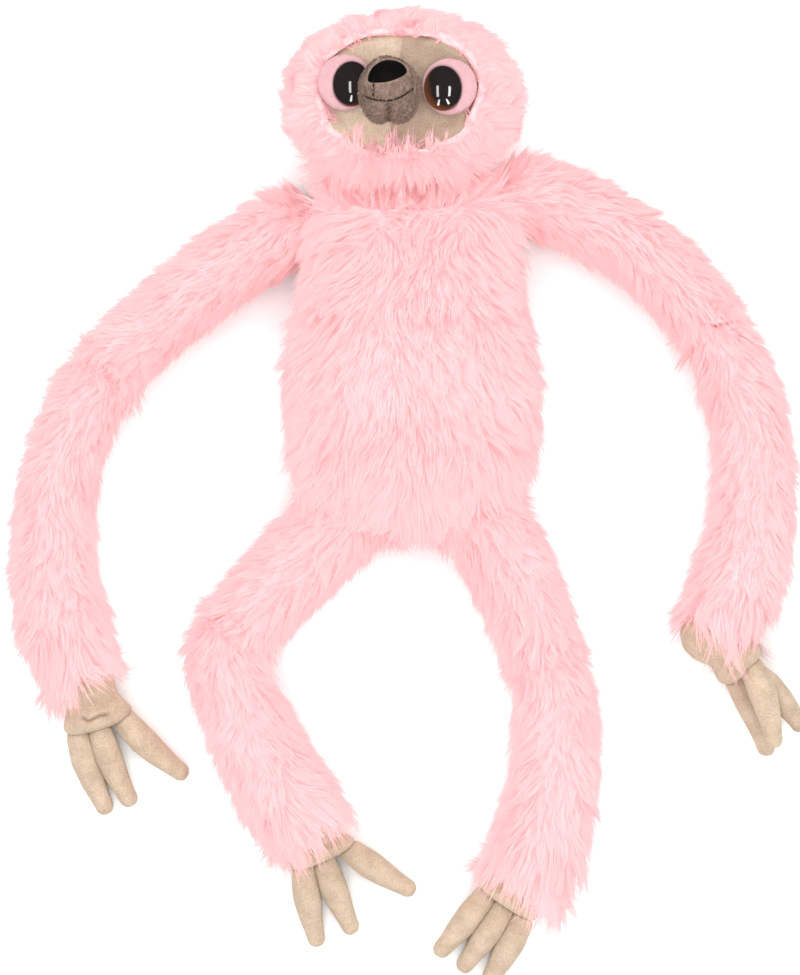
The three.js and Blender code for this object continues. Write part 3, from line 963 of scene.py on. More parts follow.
class Planter:
    """The node tree that plants locks on a coat, combed by the coat's own attributes."""

    NUMBERS = (
        "Density", "Spacing", "Length", "Width", "Lift", "Gather", "Swirl", "Wave", "Floor", "From", "To",
    )
    SPARE = ("comb", "furriness", "pile", "pale", "rise", "tint", "along", "side", "up")
    LEAST_RISE = 1.0
    MOST_TUFTS = 60_000.0
    SWIRL_SCALE, WAVE_SCALE = 45.0, 90.0
    LENGTHS, WIDTHS, PULLS, TINTS = (0.78, 1.15), (0.8, 1.25), (0.3, 1.5), (0.0, 0.6)
    PALE_TINT, LOCK_TINT, STRAND_TINT, LEAST_TINT = 0.35, 0.85, 0.06, 0.03
    MAP_SPAN, MAP_MARGIN = 0.92, 0.04
    NOISE_GAIN = 2.0

    def __init__(self, shapes: LockShapes) -> None:
        """Makes the tree.

        Args:
            shapes: The locks that it plants.
        """
        self.shapes = shapes
        inputs = dict.fromkeys(self.NUMBERS, "Float")
        inputs |= {"Seed": "Int", "Locks": "Collection", "Material": "Material"}
        self.tree = new_group("pile", inputs)
        self.given = self.tree.add("NodeGroupInput").outputs
        self.grow()

    def reach(self, normal: Socket, seed: int) -> Socket:
        """The way from each point's root to its tip.

        Args:
            normal: The way that the coat faces there.
            seed: What sets these points' own lengths apart.

        Returns:
            A vector for each point.
        """
        tree, given = self.tree, self.given
        swirl = tree.scaled(tree.drift(tree.place(), self.SWIRL_SCALE, 1.0), given["Swirl"])
        comb = tree.vector("ADD", tree.named("comb", "FLOAT_VECTOR"), tree.scaled(swirl, self.NOISE_GAIN))
        comb = tree.vector("SUBTRACT", comb, tree.vector("PROJECT", comb, normal))
        lift = tree.math("ADD", given["Lift"], tree.named("rise"))
        lying = tree.scaled(tree.vector("NORMALIZE", comb), tree.math("COSINE", lift))
        standing = tree.scaled(normal, tree.math("SINE", lift))
        length = tree.math("MULTIPLY", given["Length"], tree.named("pile"))
        length = tree.math("MULTIPLY", length, tree.chance(*self.LENGTHS, seed))
        return tree.scaled(tree.vector("ADD", lying, standing), length)

    def roots(self) -> tuple[Socket, Socket, Socket]:
        """Scatters the roots and gathers them into tufts.

        Returns:
            The roots, the ways that the coat faces there and the ways that the locks grow.
        """
        tree, given = self.tree, self.given
        place = tree.place()
        height = tree.split(place)[1]
        after_start = tree.math("GREATER_THAN", height, given["From"])
        band = tree.math("MULTIPLY", after_start, tree.math("LESS_THAN", height, given["To"]))
        density = tree.math("MULTIPLY", given["Density"], tree.named("furriness"))
        density = tree.math("MULTIPLY", density, band)
        scatter = "GeometryNodeDistributePointsOnFaces"
        coat = {"Mesh": given["Geometry"], "Seed": given["Seed"]}
        roots = tree.add(scatter, coat | {"Density": density}, distribute_method="RANDOM").outputs
        spacing = {"Distance Min": given["Spacing"], "Density Max": self.MOST_TUFTS}
        tufts = tree.add(scatter, coat | spacing, distribute_method="POISSON").outputs
        tuft_tip = tree.vector("ADD", place, self.reach(tufts["Normal"], 11))
        found = {"Geometry": tufts["Points"]}
        nearest = tree.add("GeometryNodeSampleNearest", found, domain="POINT").outputs[0]
        found |= {"Value": tuft_tip, "Index": nearest}
        options = {"data_type": "FLOAT_VECTOR", "domain": "POINT"}
        sampled = tree.add("GeometryNodeSampleIndex", found, **options).outputs[0]
        own = self.reach(roots["Normal"], 12)
        shared = tree.vector("SUBTRACT", sampled, place)
        pull = tree.math("MULTIPLY", given["Gather"], tree.chance(*self.PULLS, 13))
        return roots["Points"], roots["Normal"], tree.blended(pull, own, shared)

    def grow(self) -> None:
        """Lays out the tree: roots, tufts, locks, waves, the palette map and the material."""
        tree, given = self.tree, self.given
        points, normal, way = self.roots()
        turned = tree.add(
            "FunctionNodeAxesToRotation", {"Primary Axis": way, "Secondary Axis": normal},
            primary_axis="X", secondary_axis="Z",
        ).outputs[0]
        width = tree.math("MULTIPLY", given["Width"], tree.chance(*self.WIDTHS, 14))
        # Each lock's tint is random, plus the coat's "pale", which holds painted light on the crown and the
        # lower belly.
        tint = tree.math("MULTIPLY_ADD", tree.named("pale"), self.PALE_TINT, tree.chance(*self.TINTS, 15))
        marked = tree.stored(tree.stored(points, "tint", tint), "up", normal, "FLOAT_VECTOR")
        children = {"Collection": given["Locks"], "Separate Children": True, "Reset Children": True}
        locks = tree.add("GeometryNodeCollectionInfo", children).outputs[0]
        kinds = {4: 0, 5: self.shapes.kinds - 1, "Seed": 16}
        which = tree.add("FunctionNodeRandomValue", kinds, data_type="INT").outputs[2]
        planted = tree.add("GeometryNodeInstanceOnPoints", {
            "Points": marked, "Instance": locks, "Pick Instance": True, "Instance Index": which,
            "Rotation": turned, "Scale": tree.packed(tree.length(way), width, width),
        }).outputs[0]
        real = tree.add("GeometryNodeRealizeInstances", {0: planted}).outputs[0]
        place, along = tree.place(), tree.named("along")
        bent = tree.math("MULTIPLY", tree.math("MULTIPLY", along, given["Wave"]), self.NOISE_GAIN)
        bent = tree.scaled(tree.drift(place, self.WAVE_SCALE, 2.0), bent)
        waved = tree.add("GeometryNodeSetPosition", {"Geometry": real, "Offset": bent}).outputs[0]
        x, y, z = tree.split(place)
        above = tree.packed(x, y, tree.math("MAXIMUM", z, given["Floor"]))
        kept = tree.add("GeometryNodeSetPosition", {"Geometry": waved, "Position": above}).outputs[0]
        across = tree.math("MULTIPLY_ADD", tree.named("tint"), self.LOCK_TINT, self.LEAST_TINT)
        across = tree.math("MULTIPLY_ADD", tree.named("side"), self.STRAND_TINT, across)
        spot = tree.packed(across, tree.math("MULTIPLY_ADD", along, self.MAP_SPAN, self.MAP_MARGIN))
        mapped = tree.stored(kept, PALETTE_MAP, spot, "FLOAT2", "CORNER")
        done = tree.add("GeometryNodeSetMaterial", {"Geometry": mapped, "Material": given["Material"]})
        tree.add("NodeGroupOutput", {0: done.outputs[0]})

    def plant(
        self, coat: Piece, values: dict[str, Array], pile: Pile, finish: Finish,
        bands: dict[str, tuple[float, float]],
    ) -> list[Piece]:
        """Grows pile on a coat. Its fibres are fine enough to let light through, so they cast no shadows.

        Args:
            coat: What it grows on.
            values: How it is combed: attributes that the coat holds while the pile grows.
            pile: How it stands.
            finish: What it looks like.
            bands: Each new piece's name, with the lowest and the highest Y that it grows at.

        Returns:
            The pieces of pile, each one plain mesh.
        """
        mesh = coat.data
        for key, numbers in values.items():
            put_numbers(mesh, key, numbers)
        given = {key.capitalize(): value for key, value in vars(pile).items()}
        given |= {"Floor": FLOOR_CLEARANCE, "Locks": self.shapes.build(), "Material": finish.material()}
        made = []
        for name, (low, high) in bands.items():
            piece = add_object(name, mesh.copy())
            run_group(piece, self.tree.tree, given | {"From": low, "To": high})
            piece.visible_shadow = False
            self.soften(piece.data, pile.softness)
            for spare in self.SPARE:
                found = piece.data.attributes.get(spare)
                if found:
                    piece.data.attributes.remove(found)
            made.append(piece)
        for key in values:
            mesh.attributes.remove(mesh.attributes[key])
        return made

    def soften(self, mesh: Mesh, softness: float) -> None:
        """Shades the pile as one soft surface: its normals lean towards those of the coat.

        Args:
            mesh: The pile.
            softness: How far they lean.
        """
        ups = rows_of(mesh.attributes["up"].data, "vector")
        ups[:, 2] = np.maximum(ups[:, 2], self.LEAST_RISE)
        leaning = unit(normals_of(mesh) * (1 - softness) + unit(ups) * softness)
        mesh.shade_smooth()
        mesh.normals_split_custom_set_from_vertices(leaning.tolist())


@dataclass
class Coat:
    """A stuffed part's furry surface: the knitted ground and the pile that stands on it."""

    body: str
    planter: Planter
    pile: Pile
    bands: tuple[float, ...] = EVERYWHERE
    voxel: float = 3.5 * MM
    inset: float = 5.0 * MM
    cover: float = 3.0 * MM
    spread: int = 3
    under_share: float = 0.3
    fill: float = 0.85
    side_calm: float = math.radians(10)
    side_turn: tuple[float, float] = (-0.2, 0.6)
    under_turn: tuple[float, float] = (-0.7, -0.2)
    bare_air: tuple[float, float] = (0.02, 0.3)
    bend: tuple[str, Vector, Vector] | None = None

    def build(self, comb: Comb) -> None:
        """Makes the ground and grows the pile on it.

        Args:
            comb: Gives the coat's attributes from its places and its normals: "comb" for the way that the
                pile lies and, where they aren't plain, "furriness", "pile", "pale", "rise" and "raised".
        """
        ground = Skin(f"{self.body}_coat", [f"{self.body}_skin", f"{self.body}_filling"], self.voxel).build()
        mesh = ground.data
        places, normals = points_of(mesh), normals_of(mesh)
        open_air = self.open_air(mesh, places, normals)
        values = {key: np.ones(len(places)) for key in ("furriness", "pile")}
        values |= {key: np.zeros(len(places)) for key in ("pale", "rise", "raised")}
        values |= comb(places, normals)
        values["rise"] = values["rise"] - self.side_calm * (1 - eased(normals[:, 2], *self.side_turn))
        places -= normals * (self.inset * open_air * (1 - values.pop("raised")))[:, None]
        put_points(mesh, places)
        facing = eased(normals_of(mesh)[:, 2], *self.under_turn)
        under = self.under_share + (1 - self.under_share) * facing
        values["furriness"] = values["furriness"] * under * eased(open_air, *self.bare_air)
        BACKING.dress(ground)
        many = len(self.bands) > len(EVERYWHERE)
        bands = {
            f"{self.body}_fur" + (f"_{number + 1}" if many else ""): band
            for number, band in enumerate(zip(self.bands, self.bands[1:]))
        }
        for piece in (ground, *self.planter.plant(ground, values, self.pile, FUR, bands)):
            self.hold(piece)
        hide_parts(f"{self.body}_skin", f"{self.body}_filling")

    def open_air(self, mesh: Mesh, places: Array, normals: Array) -> Array:
        """How far the coat lies open.

        Args:
            mesh: The coat.
            places: The places of its vertices.
            normals: The ways that they face.

        Returns:
            For each vertex, 1 where nothing is on it and 0 where a neighbour covers it.
        """
        nodes = frame["nodes"].values()
        others = faces_of([node.data for node in nodes if node["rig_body"] != self.body])
        starts = places - normals * self.cover
        found = np.array([
            others.ray_cast(Vector(start), Vector(way), 2 * self.cover)[0] is None
            for start, way in zip(starts, normals)
        ], float)
        edges = np.empty(len(mesh.edges) * 2, np.int32)
        mesh.edges.foreach_get("vertices", edges)
        first, last = edges.reshape(-1, 2).T
        size = len(found)
        count = np.bincount(first, minlength=size) + np.bincount(last, minlength=size) + 1
        for _ in range(self.spread):
            total = found + np.bincount(first, found[last], size)
            found = (total + np.bincount(last, found[first], size)) / count
        return found

    def hold(self, piece: Piece) -> None:
        """Attaches a piece to its body; where the coat has a bend, it only bakes the piece's place into its
        mesh and leaves it unattached.

        Args:
            piece: The piece.
        """
        if self.bend is None:
            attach(piece, self.body)
            return
        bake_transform(piece)


@dataclass
class Torso:
    """The body, whose pile fans out and lies towards the feet, but towards the head where it faces that."""

    planter: Planter
    pile: Pile = Pile(length=22 * MM, seed=3)
    bands: tuple[float, ...] = (EVERYWHERE[0], -38 * MM, 32 * MM, EVERYWHERE[1])
    fan: float = 0.55
    half_width: float = 71 * MM
    neck_from: float = 62 * MM
    neck_to: float = 100 * MM
    head_turn: tuple[float, float] = (0.05, 0.75)
    ruff: float = 0.2
    ruff_rise: float = math.radians(-8)
    # Painted light: the pile grows paler towards the feet, where the lower belly lies brighter in the light.
    pale: float = 0.9
    pale_from: float = -20 * MM
    pale_to: float = -75 * MM
    side_calm: float = math.radians(20)

    def build(self) -> None:
        """Makes the coat."""
        Coat("torso", self.planter, self.pile, self.bands, side_calm=self.side_calm).build(self.comb)

    def comb(self, places: Array, normals: Array) -> dict[str, Array]:
        """How the pile lies, and its painted light, paler towards the feet.

        Args:
            places: The ground's places.
            normals: The ways that it faces.

        Returns:
            What the coat needs to know at each place, by name.
        """
        aside = np.clip(places[:, 0] / self.half_width, -1, 1)
        neck = eased(places[:, 1], self.neck_from, self.neck_to)
        headward = eased(normals[:, 1], *self.head_turn)
        onward = 2 * headward * eased(places[:, 1], 0.0, self.neck_from) - 1
        way = np.stack([aside * self.fan, onward, np.zeros(len(places))], axis=1)
        return {
            "comb": way,
            # Painted light: paler towards the feet.
            "pale": eased(-places[:, 1], -self.pale_from, -self.pale_to) * self.pale,
            "pile": 1 + self.ruff * neck,
            "rise": neck * self.ruff_rise,
        }


@dataclass
class Limb:
    """One limb: two stuffed lengths, each combed along its curve towards the hand or foot."""

    side: Side
    kind: Kind
    start: float
    sweeps: tuple[float, float]
    bend: float
    planter: Planter
    pile: Pile
    pinch: float = 5 * MM
    reach: float = 25 * MM
    pale: float = 0.15
    cuff: float = 35 * MM
    cuff_pale: float = 0.75
    cuff_growth: float = 0.6
    cuff_rise: float = math.radians(-14)
    cuff_aim: tuple[float, float] | None = None
    aim_rate: float = 1.8

    def build(self) -> None:
        """Makes both lengths."""
        bodies = [f"{self.side.word}_{name}" for name in self.kind.lengths]
        pivots = [pivot_of(f"{self.side.word}_{name}") for name in self.kind.joints]
        parents = ["torso", bodies[0]]
        heading = self.start
        for number, sweep in enumerate(self.sweeps):
            first, last = pivots[number], pivots[number + 1]
            way = Vector((math.cos(math.radians(heading)), math.sin(math.radians(heading)), 0))
            bend = (parents[number], first - way * self.pinch, first + way * self.reach)
            coat = Coat(bodies[number], self.planter, self.pile, bend=bend)
            coat.build(self.comber(first, last, heading, sweep, number == 1))
            heading += sweep + self.bend

    def comber(self, first: Vector, last: Vector, heading: float, sweep: float, ends: bool) -> Comb:
        """Makes the comb for one length.

        Args:
            first: The pivot nearer the torso.
            last: The pivot further out.
            heading: The way that the length sets out, in degrees.
            sweep: How far it curves, in degrees.
            ends: Whether it ends in a cuff.

        Returns:
            The comb.
        """
        start, chord = np.array(first), np.array(last - first)

        def comb(places: Array, normals: Array) -> dict[str, Array]:
            """How the pile lies: along the curve and, in a cuff that is aimed, towards one place.

            Args:
                places: The ground's places.
                normals: The ways that it faces.

            Returns:
                What the coat needs to know at each place, by name.
            """
            share = ((places - start) @ chord) / (chord @ chord)
            cuff_from = 1 - self.cuff / np.linalg.norm(chord)
            outer = eased(share, cuff_from, 1.0) if ends else np.zeros(len(share))
            angle = np.radians(heading + np.clip(share, 0, 1) * sweep)
            way = np.stack([np.cos(angle), np.sin(angle), np.zeros(len(angle))], axis=1)
            if self.cuff_aim and ends:
                aimed = np.array(last)[:2] + self.cuff_aim - places[:, :2]
                aimed = np.pad(aimed / np.linalg.norm(aimed, axis=1, keepdims=True), ((0, 0), (0, 1)))
                turned = np.minimum(self.aim_rate * outer, 1.0)[:, None]
                way = way * (1 - turned) + aimed * turned
            return {
                "comb": way, "pale": self.pale + self.cuff_pale * outer,
                "pile": 1 + self.cuff_growth * outer, "rise": self.cuff_rise * outer,
            }

        return comb


@dataclass
class Opening:
    """The outline of the face panel, drawn from where its corners are seen."""

    corners: tuple[Pixel, ...] = (
        (365.0, 37.5), (390.0, 37.0), (416.0, 37.0), (441.0, 38.0), (463.0, 50.0), (476.0, 68.0),
        (479.0, 88.0), (470.0, 106.0), (467.0, 122.0), (467.0, 133.0), (452.0, 141.0), (430.0, 148.0),
        (400.0, 150.0), (370.0, 149.5), (356.0, 148.0), (340.0, 138.0), (325.0, 127.0), (331.0, 116.0),
        (334.0, 106.0), (321.0, 92.0), (320.0, 76.0), (328.0, 62.0), (345.0, 49.0),
    )
    rounds: int = 2
    cut: float = 0.25
    angles: Array = field(default_factory=lambda: np.zeros(0))
    radii: Array = field(default_factory=lambda: np.zeros(0))
    middle: Array = field(default_factory=lambda: np.zeros(2))

    def build(self, studio: Studio, surface: BVHTree) -> "Opening":
        """Finds the outline on the head and rounds its corners.

        Args:
            studio: The studio that it is lined up in.
            surface: The head's faces.

        Returns:
            The opening itself.
        """
        ring = np.array([studio.on_surface(corner, surface)[0][:2] for corner in self.corners])
        near, far = 1 - self.cut, self.cut
        for _ in range(self.rounds):
            after = np.roll(ring, -1, axis=0)
            ring = np.stack([near * ring + far * after, far * ring + near * after], axis=1).reshape(-1, 2)
        self.middle = ring.mean(axis=0)
        away = ring - self.middle
        angles = np.arctan2(away[:, 1], away[:, 0])
        order = np.argsort(angles)
        self.angles = angles[order]
        self.radii = np.linalg.norm(away, axis=1)[order]
        return self

    def reach(self, angles: Array) -> Array:
        """How far the outline is from the middle, each way."""
        return np.interp(angles, self.angles, self.radii, period=math.tau)

    def beyond(self, places: Array) -> Array:
        """How far places lie outside the outline, less than nothing for those within it."""
        away = places[:, :2] - self.middle
        return np.linalg.norm(away, axis=1) - self.reach(np.arctan2(away[:, 1], away[:, 0]))


@dataclass
class Patch:
    """A closed pad sewn over a surface inside an outline."""

    name: str
    opening: Opening
    surface: BVHTree
    rings: int = 46
    spokes: int = 150
    overlap: float = 0.0
    thickness: float = 4.4 * MM
    edge_drop: float = 2.5 * MM
    edge_from: float = 0.86
    bulge: float = 0.0
    relief: Callable[[float, float], float] | None = None
    ceiling: float = 0.3

    def build(self) -> Piece:
        """Makes the pad.

        Returns:
            The pad.
        """
        angles = np.linspace(0, math.tau, self.spokes, endpoint=False)
        edge = self.opening.reach(angles) + self.overlap
        points = [self.point(0.0, 0.0, 0.0)]
        for ring in range(1, self.rings + 1):
            share = ring / self.rings
            points += [self.point(share, angle, radius) for angle, radius in zip(angles, edge)]
        top = np.array(points)
        low = top.copy()
        low[:, 2] -= self.thickness
        count = len(top)
        faces = self.disc(0) + [face[::-1] for face in self.disc(count)]
        last = 1 + (self.rings - 1) * self.spokes
        for spoke in range(self.spokes):
            after = (spoke + 1) % self.spokes
            faces.append([last + after, last + spoke, count + last + spoke, count + last + after])
        return add_object(self.name, mesh_of(self.name, np.vstack([top, low]), faces))

    def point(self, share: float, angle: float, radius: float) -> tuple[float, float, float]:
        """A place on the pad's top.

        Args:
            share: How far it is towards the edge.
            angle: Its bearing from the middle.
            radius: How far the edge is that way.

        Returns:
            The place.
        """
        x = self.opening.middle[0] + share * radius * math.cos(angle)
        y = self.opening.middle[1] + share * radius * math.sin(angle)
        place = self.surface.ray_cast(Vector((x, y, self.ceiling)), Vector((0, 0, -1)))[0]
        height = place.z - self.edge_drop * float(eased(np.array(share), self.edge_from, 1.0))
        height += self.bulge * (1 - share**2)
        return x, y, height + (self.relief(x, y) if self.relief else 0.0)

    def disc(self, lift: int) -> list[list[int]]:
        """Lists the faces of one side of the pad.

        Args:
            lift: The number of its first vertex.

        Returns:
            The vertices round each face, seen from above.
        """
        faces = [[lift, lift + 1 + s, lift + 1 + (s + 1) % self.spokes] for s in range(self.spokes)]
        for ring in range(self.rings - 1):
            inner = lift + 1 + ring * self.spokes
            for spoke in range(self.spokes):
                after = (spoke + 1) % self.spokes
                outer = inner + self.spokes
                faces.append([inner + spoke, outer + spoke, outer + after, inner + after])
        return faces


@dataclass
class FacePanel:
    """The beige face, a shallow dome with a seam down its forehead."""

    opening: Opening
    surface: BVHTree
    studio: Studio
    overlap: float = 1.5 * MM
    seam_width: float = 0.9 * MM
    seam_depth: float = 1.0 * MM
    seam_top: Pixel = (401.0, 44.0)
    seam_foot: Pixel = (397.0, 70.0)
    far_blend: float = 0.5 * MM

    def build(self) -> None:
        """Makes the panel."""
        top, foot = (self.studio.on_surface(p, self.surface)[0] for p in (self.seam_top, self.seam_foot))
        slope = (top.x - foot.x) / (top.y - foot.y)

        def aside(x: Any, y: Any) -> Any:
            """How far a place is to the right of the seam's line, as the viewer sees it."""
            return x - foot.x - (y - foot.y) * slope

        def seam(x: float, y: float) -> float:
            """How far the seam pulls the panel in.

            Args:
                x: The place's X.
                y: The place's Y.

            Returns:
                The pull, in metres.
            """
            gap = aside(x, y) / self.seam_width
            fade = float(eased(np.array(y), self.opening.middle[1], foot.y))
            return -self.seam_depth * math.exp(-gap * gap) * fade

        name = "face_panel_plush"
        body = Patch(name, self.opening, self.surface, overlap=self.overlap, relief=seam).build()
        places = points_of(body.data)
        # Marks the far panel, which the finish darkens with a painted shade.
        far = aside(places[:, 0], places[:, 1]) / self.far_blend
        put_numbers(body.data, "far_panel", np.clip(far, 0, 1))
        FACE_BEIGE.dress(body)
        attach(body, "head")
        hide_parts("face_panel")


@dataclass(frozen=True)
class Groove:
    """A line pressed into a surface, such as a crease or a cleft."""

    path: tuple[Pixel, ...]
    width: float
    depth: float
    fade_in: float = 0.2
    fade_out: float = 0.2
    level: float = 0.9
    turn: tuple[float, float] = (-0.4, 0.1)

    def press(self, places: Array, normals: Array, studio: Studio) -> Array:
        """Presses the line in.

        Args:
            places: The surface's places.
            normals: The ways that it faces.
            studio: Where the path's pixels are seen from.

        Returns:
            The surface's new places.
        """
        height = float(np.quantile(places[:, 2], self.level))
        path = [np.array(studio.spot(pixel, height))[:2] for pixel in self.path]
        gap = np.full(len(places), np.inf)
        along = np.zeros(len(places))
        for number, (first, last) in enumerate(zip(path, path[1:])):
            way = last - first
            share = np.clip((places[:, :2] - first) @ way / (way @ way), 0, 1)
            found = np.linalg.norm(places[:, :2] - first - share[:, None] * way, axis=1)
            along = np.where(found < gap, (number + share) / (len(path) - 1), along)
            gap = np.minimum(gap, found)
        depth = self.depth * np.exp(-((gap / self.width) ** 2)) * eased(normals[:, 2], *self.turn)
        if self.fade_in:
            depth *= eased(along, 0.0, self.fade_in)
        if self.fade_out:
            depth *= 1 - eased(along, 1 - self.fade_out, 1.0)
        return places - normals * depth[:, None]


@dataclass
class SoftPart:
    """A firm sewn part, such as a claw, a palm or a muzzle, smoothed from its solid."""

    node: str
    finish: Finish
    voxel: float = 1.3 * MM
    rounds: int = 10
    fill: float = 1.0
    shape: Callable[[Array, Array], Array] | None = None
    joined: Sequence[str] = ()
    grooves: Sequence[Groove] = ()
    studio: Studio | None = None

    def build(self) -> Piece:
        """Makes the part.

        Returns:
            The piece.
        """
        body = Skin(f"{self.node}_form", [self.node, *self.joined], self.voxel, self.rounds).build()
        mesh = body.data
        if self.shape is not None:
            put_points(mesh, self.shape(points_of(mesh), normals_of(mesh)))
        # How deep the grooves press: the mark for the painted shade that the finish puts in creases.
        crease_shade = np.zeros(len(mesh.vertices))
        for groove in self.grooves:
            places = points_of(mesh)
            pressed = groove.press(places, normals_of(mesh), self.studio)
            put_points(mesh, pressed)
            crease_shade = np.maximum(crease_shade, np.linalg.norm(places - pressed, axis=1) / groove.depth)
        places = points_of(mesh)
        places[:, 2] = np.maximum(places[:, 2], FLOOR_CLEARANCE)
        put_points(mesh, places)
        put_numbers(mesh, "crease", crease_shade**2)
        self.finish.dress(body)
        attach(body, frame["nodes"][self.node]["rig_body"])
        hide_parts(self.node)
        return body


@dataclass
class Eye:
    """A glossy domed eye on a shank, set in a puffy satin rim."""

    side: Side
    gaze: tuple[float, float]
    pupil: float
    half_width: float = 10.2 * MM
    half_length: float = 12.2 * MM
    dome: float = 4.3 * MM
    flange: float = 3.4 * MM
    shank: float = 2.4 * MM
    segments: int = 96
    dome_rings: int = 24
    flange_rings: tuple[tuple[float, float], ...] = ((0.90, 0.0), (0.97, 0.25 * MM), (1.0, 0.9 * MM))
    neck: float = 0.2 * MM

    def build(self) -> None:
        """Makes the rim and the eye."""
        SoftPart(f"{self.side.word}_eye_pad", SATIN, voxel=0.9 * MM, rounds=14, fill=0.9).build()
        WASHER.dress(frame["nodes"][f"{self.side.word}_eye_washer"])
        self.ball()

    def profile(self, length: float) -> list[tuple[float, float, bool]]:
        """The eye's section.

        Args:
            length: How long its shank is.

        Returns:
            Each ring's reach, its height over the flange's foot and whether it is oval.
        """
        stem = self.shank / self.half_width
        rings = [(stem, -length, False), (stem, -self.neck, False)]
        rings += [(*ring, True) for ring in (*self.flange_rings, (1.0, self.flange))]
        radius = (self.half_width**2 + self.dome**2) / (2 * self.dome)
        for ring in range(1, self.dome_rings):
            reach = 1 - ring / self.dome_rings
            height = math.sqrt(radius**2 - (reach * self.half_width) ** 2) - radius + self.dome
            rings.append((reach, self.flange + height, True))
        return rings

    def stance(self) -> tuple[Vector, Matrix, float]:
        """Finds how the eye stands, from its solid and the washer round its shank.

        Returns:
            The middle of its flange's foot, the turn that stands it there and its shank's length.
        """
        solid = points_of(frame["nodes"][f"{self.side.word}_eye"].data)
        washer = points_of(frame["nodes"][f"{self.side.word}_eye_washer"].data)
        spread = np.linalg.svd(washer - washer.mean(axis=0), full_matrices=False)[2]
        axis = Vector(spread[2] if spread[2][2] > 0 else -spread[2])
        foot = Vector(washer.mean(axis=0))
        heights = (solid - np.array(foot)) @ np.array(axis)
        away = np.linalg.norm(solid - np.array(foot) - heights[:, None] * np.array(axis), axis=1)
        base = float(heights[away > 2 * self.shank].min())
        across = Vector((axis.z, 0, -axis.x)).normalized()
        turn = Matrix((across, axis.cross(across), axis)).transposed()
        return foot + axis * base, turn, base - float(heights.min())

    def ball(self) -> None:
        """Turns the eye and maps its iris."""
        origin, turn, length = self.stance()
        axis, profile, count = turn.col[2], self.profile(length), self.segments
        points: list[Vector] = []
        spots: list[tuple[float, float]] = []
        for reach, height, oval in profile:
            upward = self.half_length if oval else self.half_width
            for step in range(count):
                angle = math.tau * step / count
                x, y = math.cos(angle) * reach, math.sin(angle) * reach
                points.append(origin + turn @ Vector((x * self.half_width, y * upward, height)))
                spots.append((x, y))
        points += [origin - axis * length, origin + axis * (self.flange + self.dome)]
        spots += [(0.0, 0.0), (0.0, 0.0)]
        top = (len(profile) - 1) * count
        foot = top + count
        faces = [[foot, (side + 1) % count, side] for side in range(count)]
        for low in range(0, top, count):
            faces += band_of(low, low + count, count)
        faces += [[top + side, top + (side + 1) % count, foot + 1] for side in range(count)]
        body = add_object(f"{self.side.word}_eye_ball", mesh_of("eye", points, faces))
        iris = body.data.uv_layers.new(name="iris")
        seen = (np.array(spots) - np.array(self.gaze)) / self.pupil
        for loop in body.data.loops:
            iris.data[loop.index].uv = seen[loop.vertex_index]
        EYE.dress(body)
        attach(body, "head")
        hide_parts(f"{self.side.word}_eye")


@dataclass
class Stitches:
    """A line of thread sewn over a surface: short stitches end to end."""

    path: tuple[Pixel, ...]
    step: float = 1.9 * MM
    overlap: float = 0.62
    thickness: float = 0.5 * MM
    rise: float = 0.75 * MM

    def build(self, name: str, studio: Studio, surface: BVHTree, body: str) -> None:
        """Sews the line.

        Args:
            name: The piece's name.
            studio: Where the path's pixels are seen from.
            surface: What is sewn.
            body: The body that it moves with.
        """
        places = []
        for pixel in self.path:
            place, normal = studio.on_surface(pixel, surface)
            places.append(place + normal * self.rise)
        mesh = bpy.data.meshes.new(name)
        mesh.from_pydata(places, [(i, i + 1) for i in range(len(places) - 1)], [])
        piece = add_object(name, mesh)
        given = {"Step": self.step, "Thickness": self.thickness, "Material": THREAD.material()}
        run_group(piece, self.group(), given)
        piece.data.shade_smooth()
        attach(piece, body)

    def group(self) -> bpy.types.NodeTree:
        """Makes the tree that sets stitches along a line, once.

        Returns:
            The tree.
        """
        found = bpy.data.node_groups.get("stitches")
        if found:
            return found
        tree = new_group("stitches", {"Step": "Float", "Thickness": "Float", "Material": "Material"})
        given = tree.add("NodeGroupInput").outputs
        line = tree.add("GeometryNodeMeshToCurve", {0: given["Geometry"]}).outputs[0]
        soft = tree.add("GeometryNodeCurveSplineType", {0: line}, spline_type="CATMULL_ROM").outputs[0]
        spacing = {"Curve": soft, "Length": given["Step"]}
        spaced = tree.add("GeometryNodeResampleCurve", spacing, mode="LENGTH").outputs[0]
        bead = tree.add("GeometryNodeMeshIcoSphere", {"Radius": 1.0, "Subdivisions": 3}).outputs[0]
        tangent = tree.add("GeometryNodeInputTangent").outputs[0]
        turned = tree.add("FunctionNodeAlignRotationToVector", {"Vector": tangent}, axis="X").outputs[0]
        half = tree.math("MULTIPLY", given["Step"], self.overlap)
        size = tree.packed(half, given["Thickness"], given["Thickness"])
        beads = {"Points": spaced, "Instance": bead, "Rotation": turned, "Scale": size}
        sewn = tree.add("GeometryNodeInstanceOnPoints", beads).outputs[0]
        real = tree.add("GeometryNodeRealizeInstances", {0: sewn}).outputs[0]
        done = tree.add("GeometryNodeSetMaterial", {"Geometry": real, "Material": given["Material"]})
        tree.add("NodeGroupOutput", {0: done.outputs[0]})
        return tree.tree


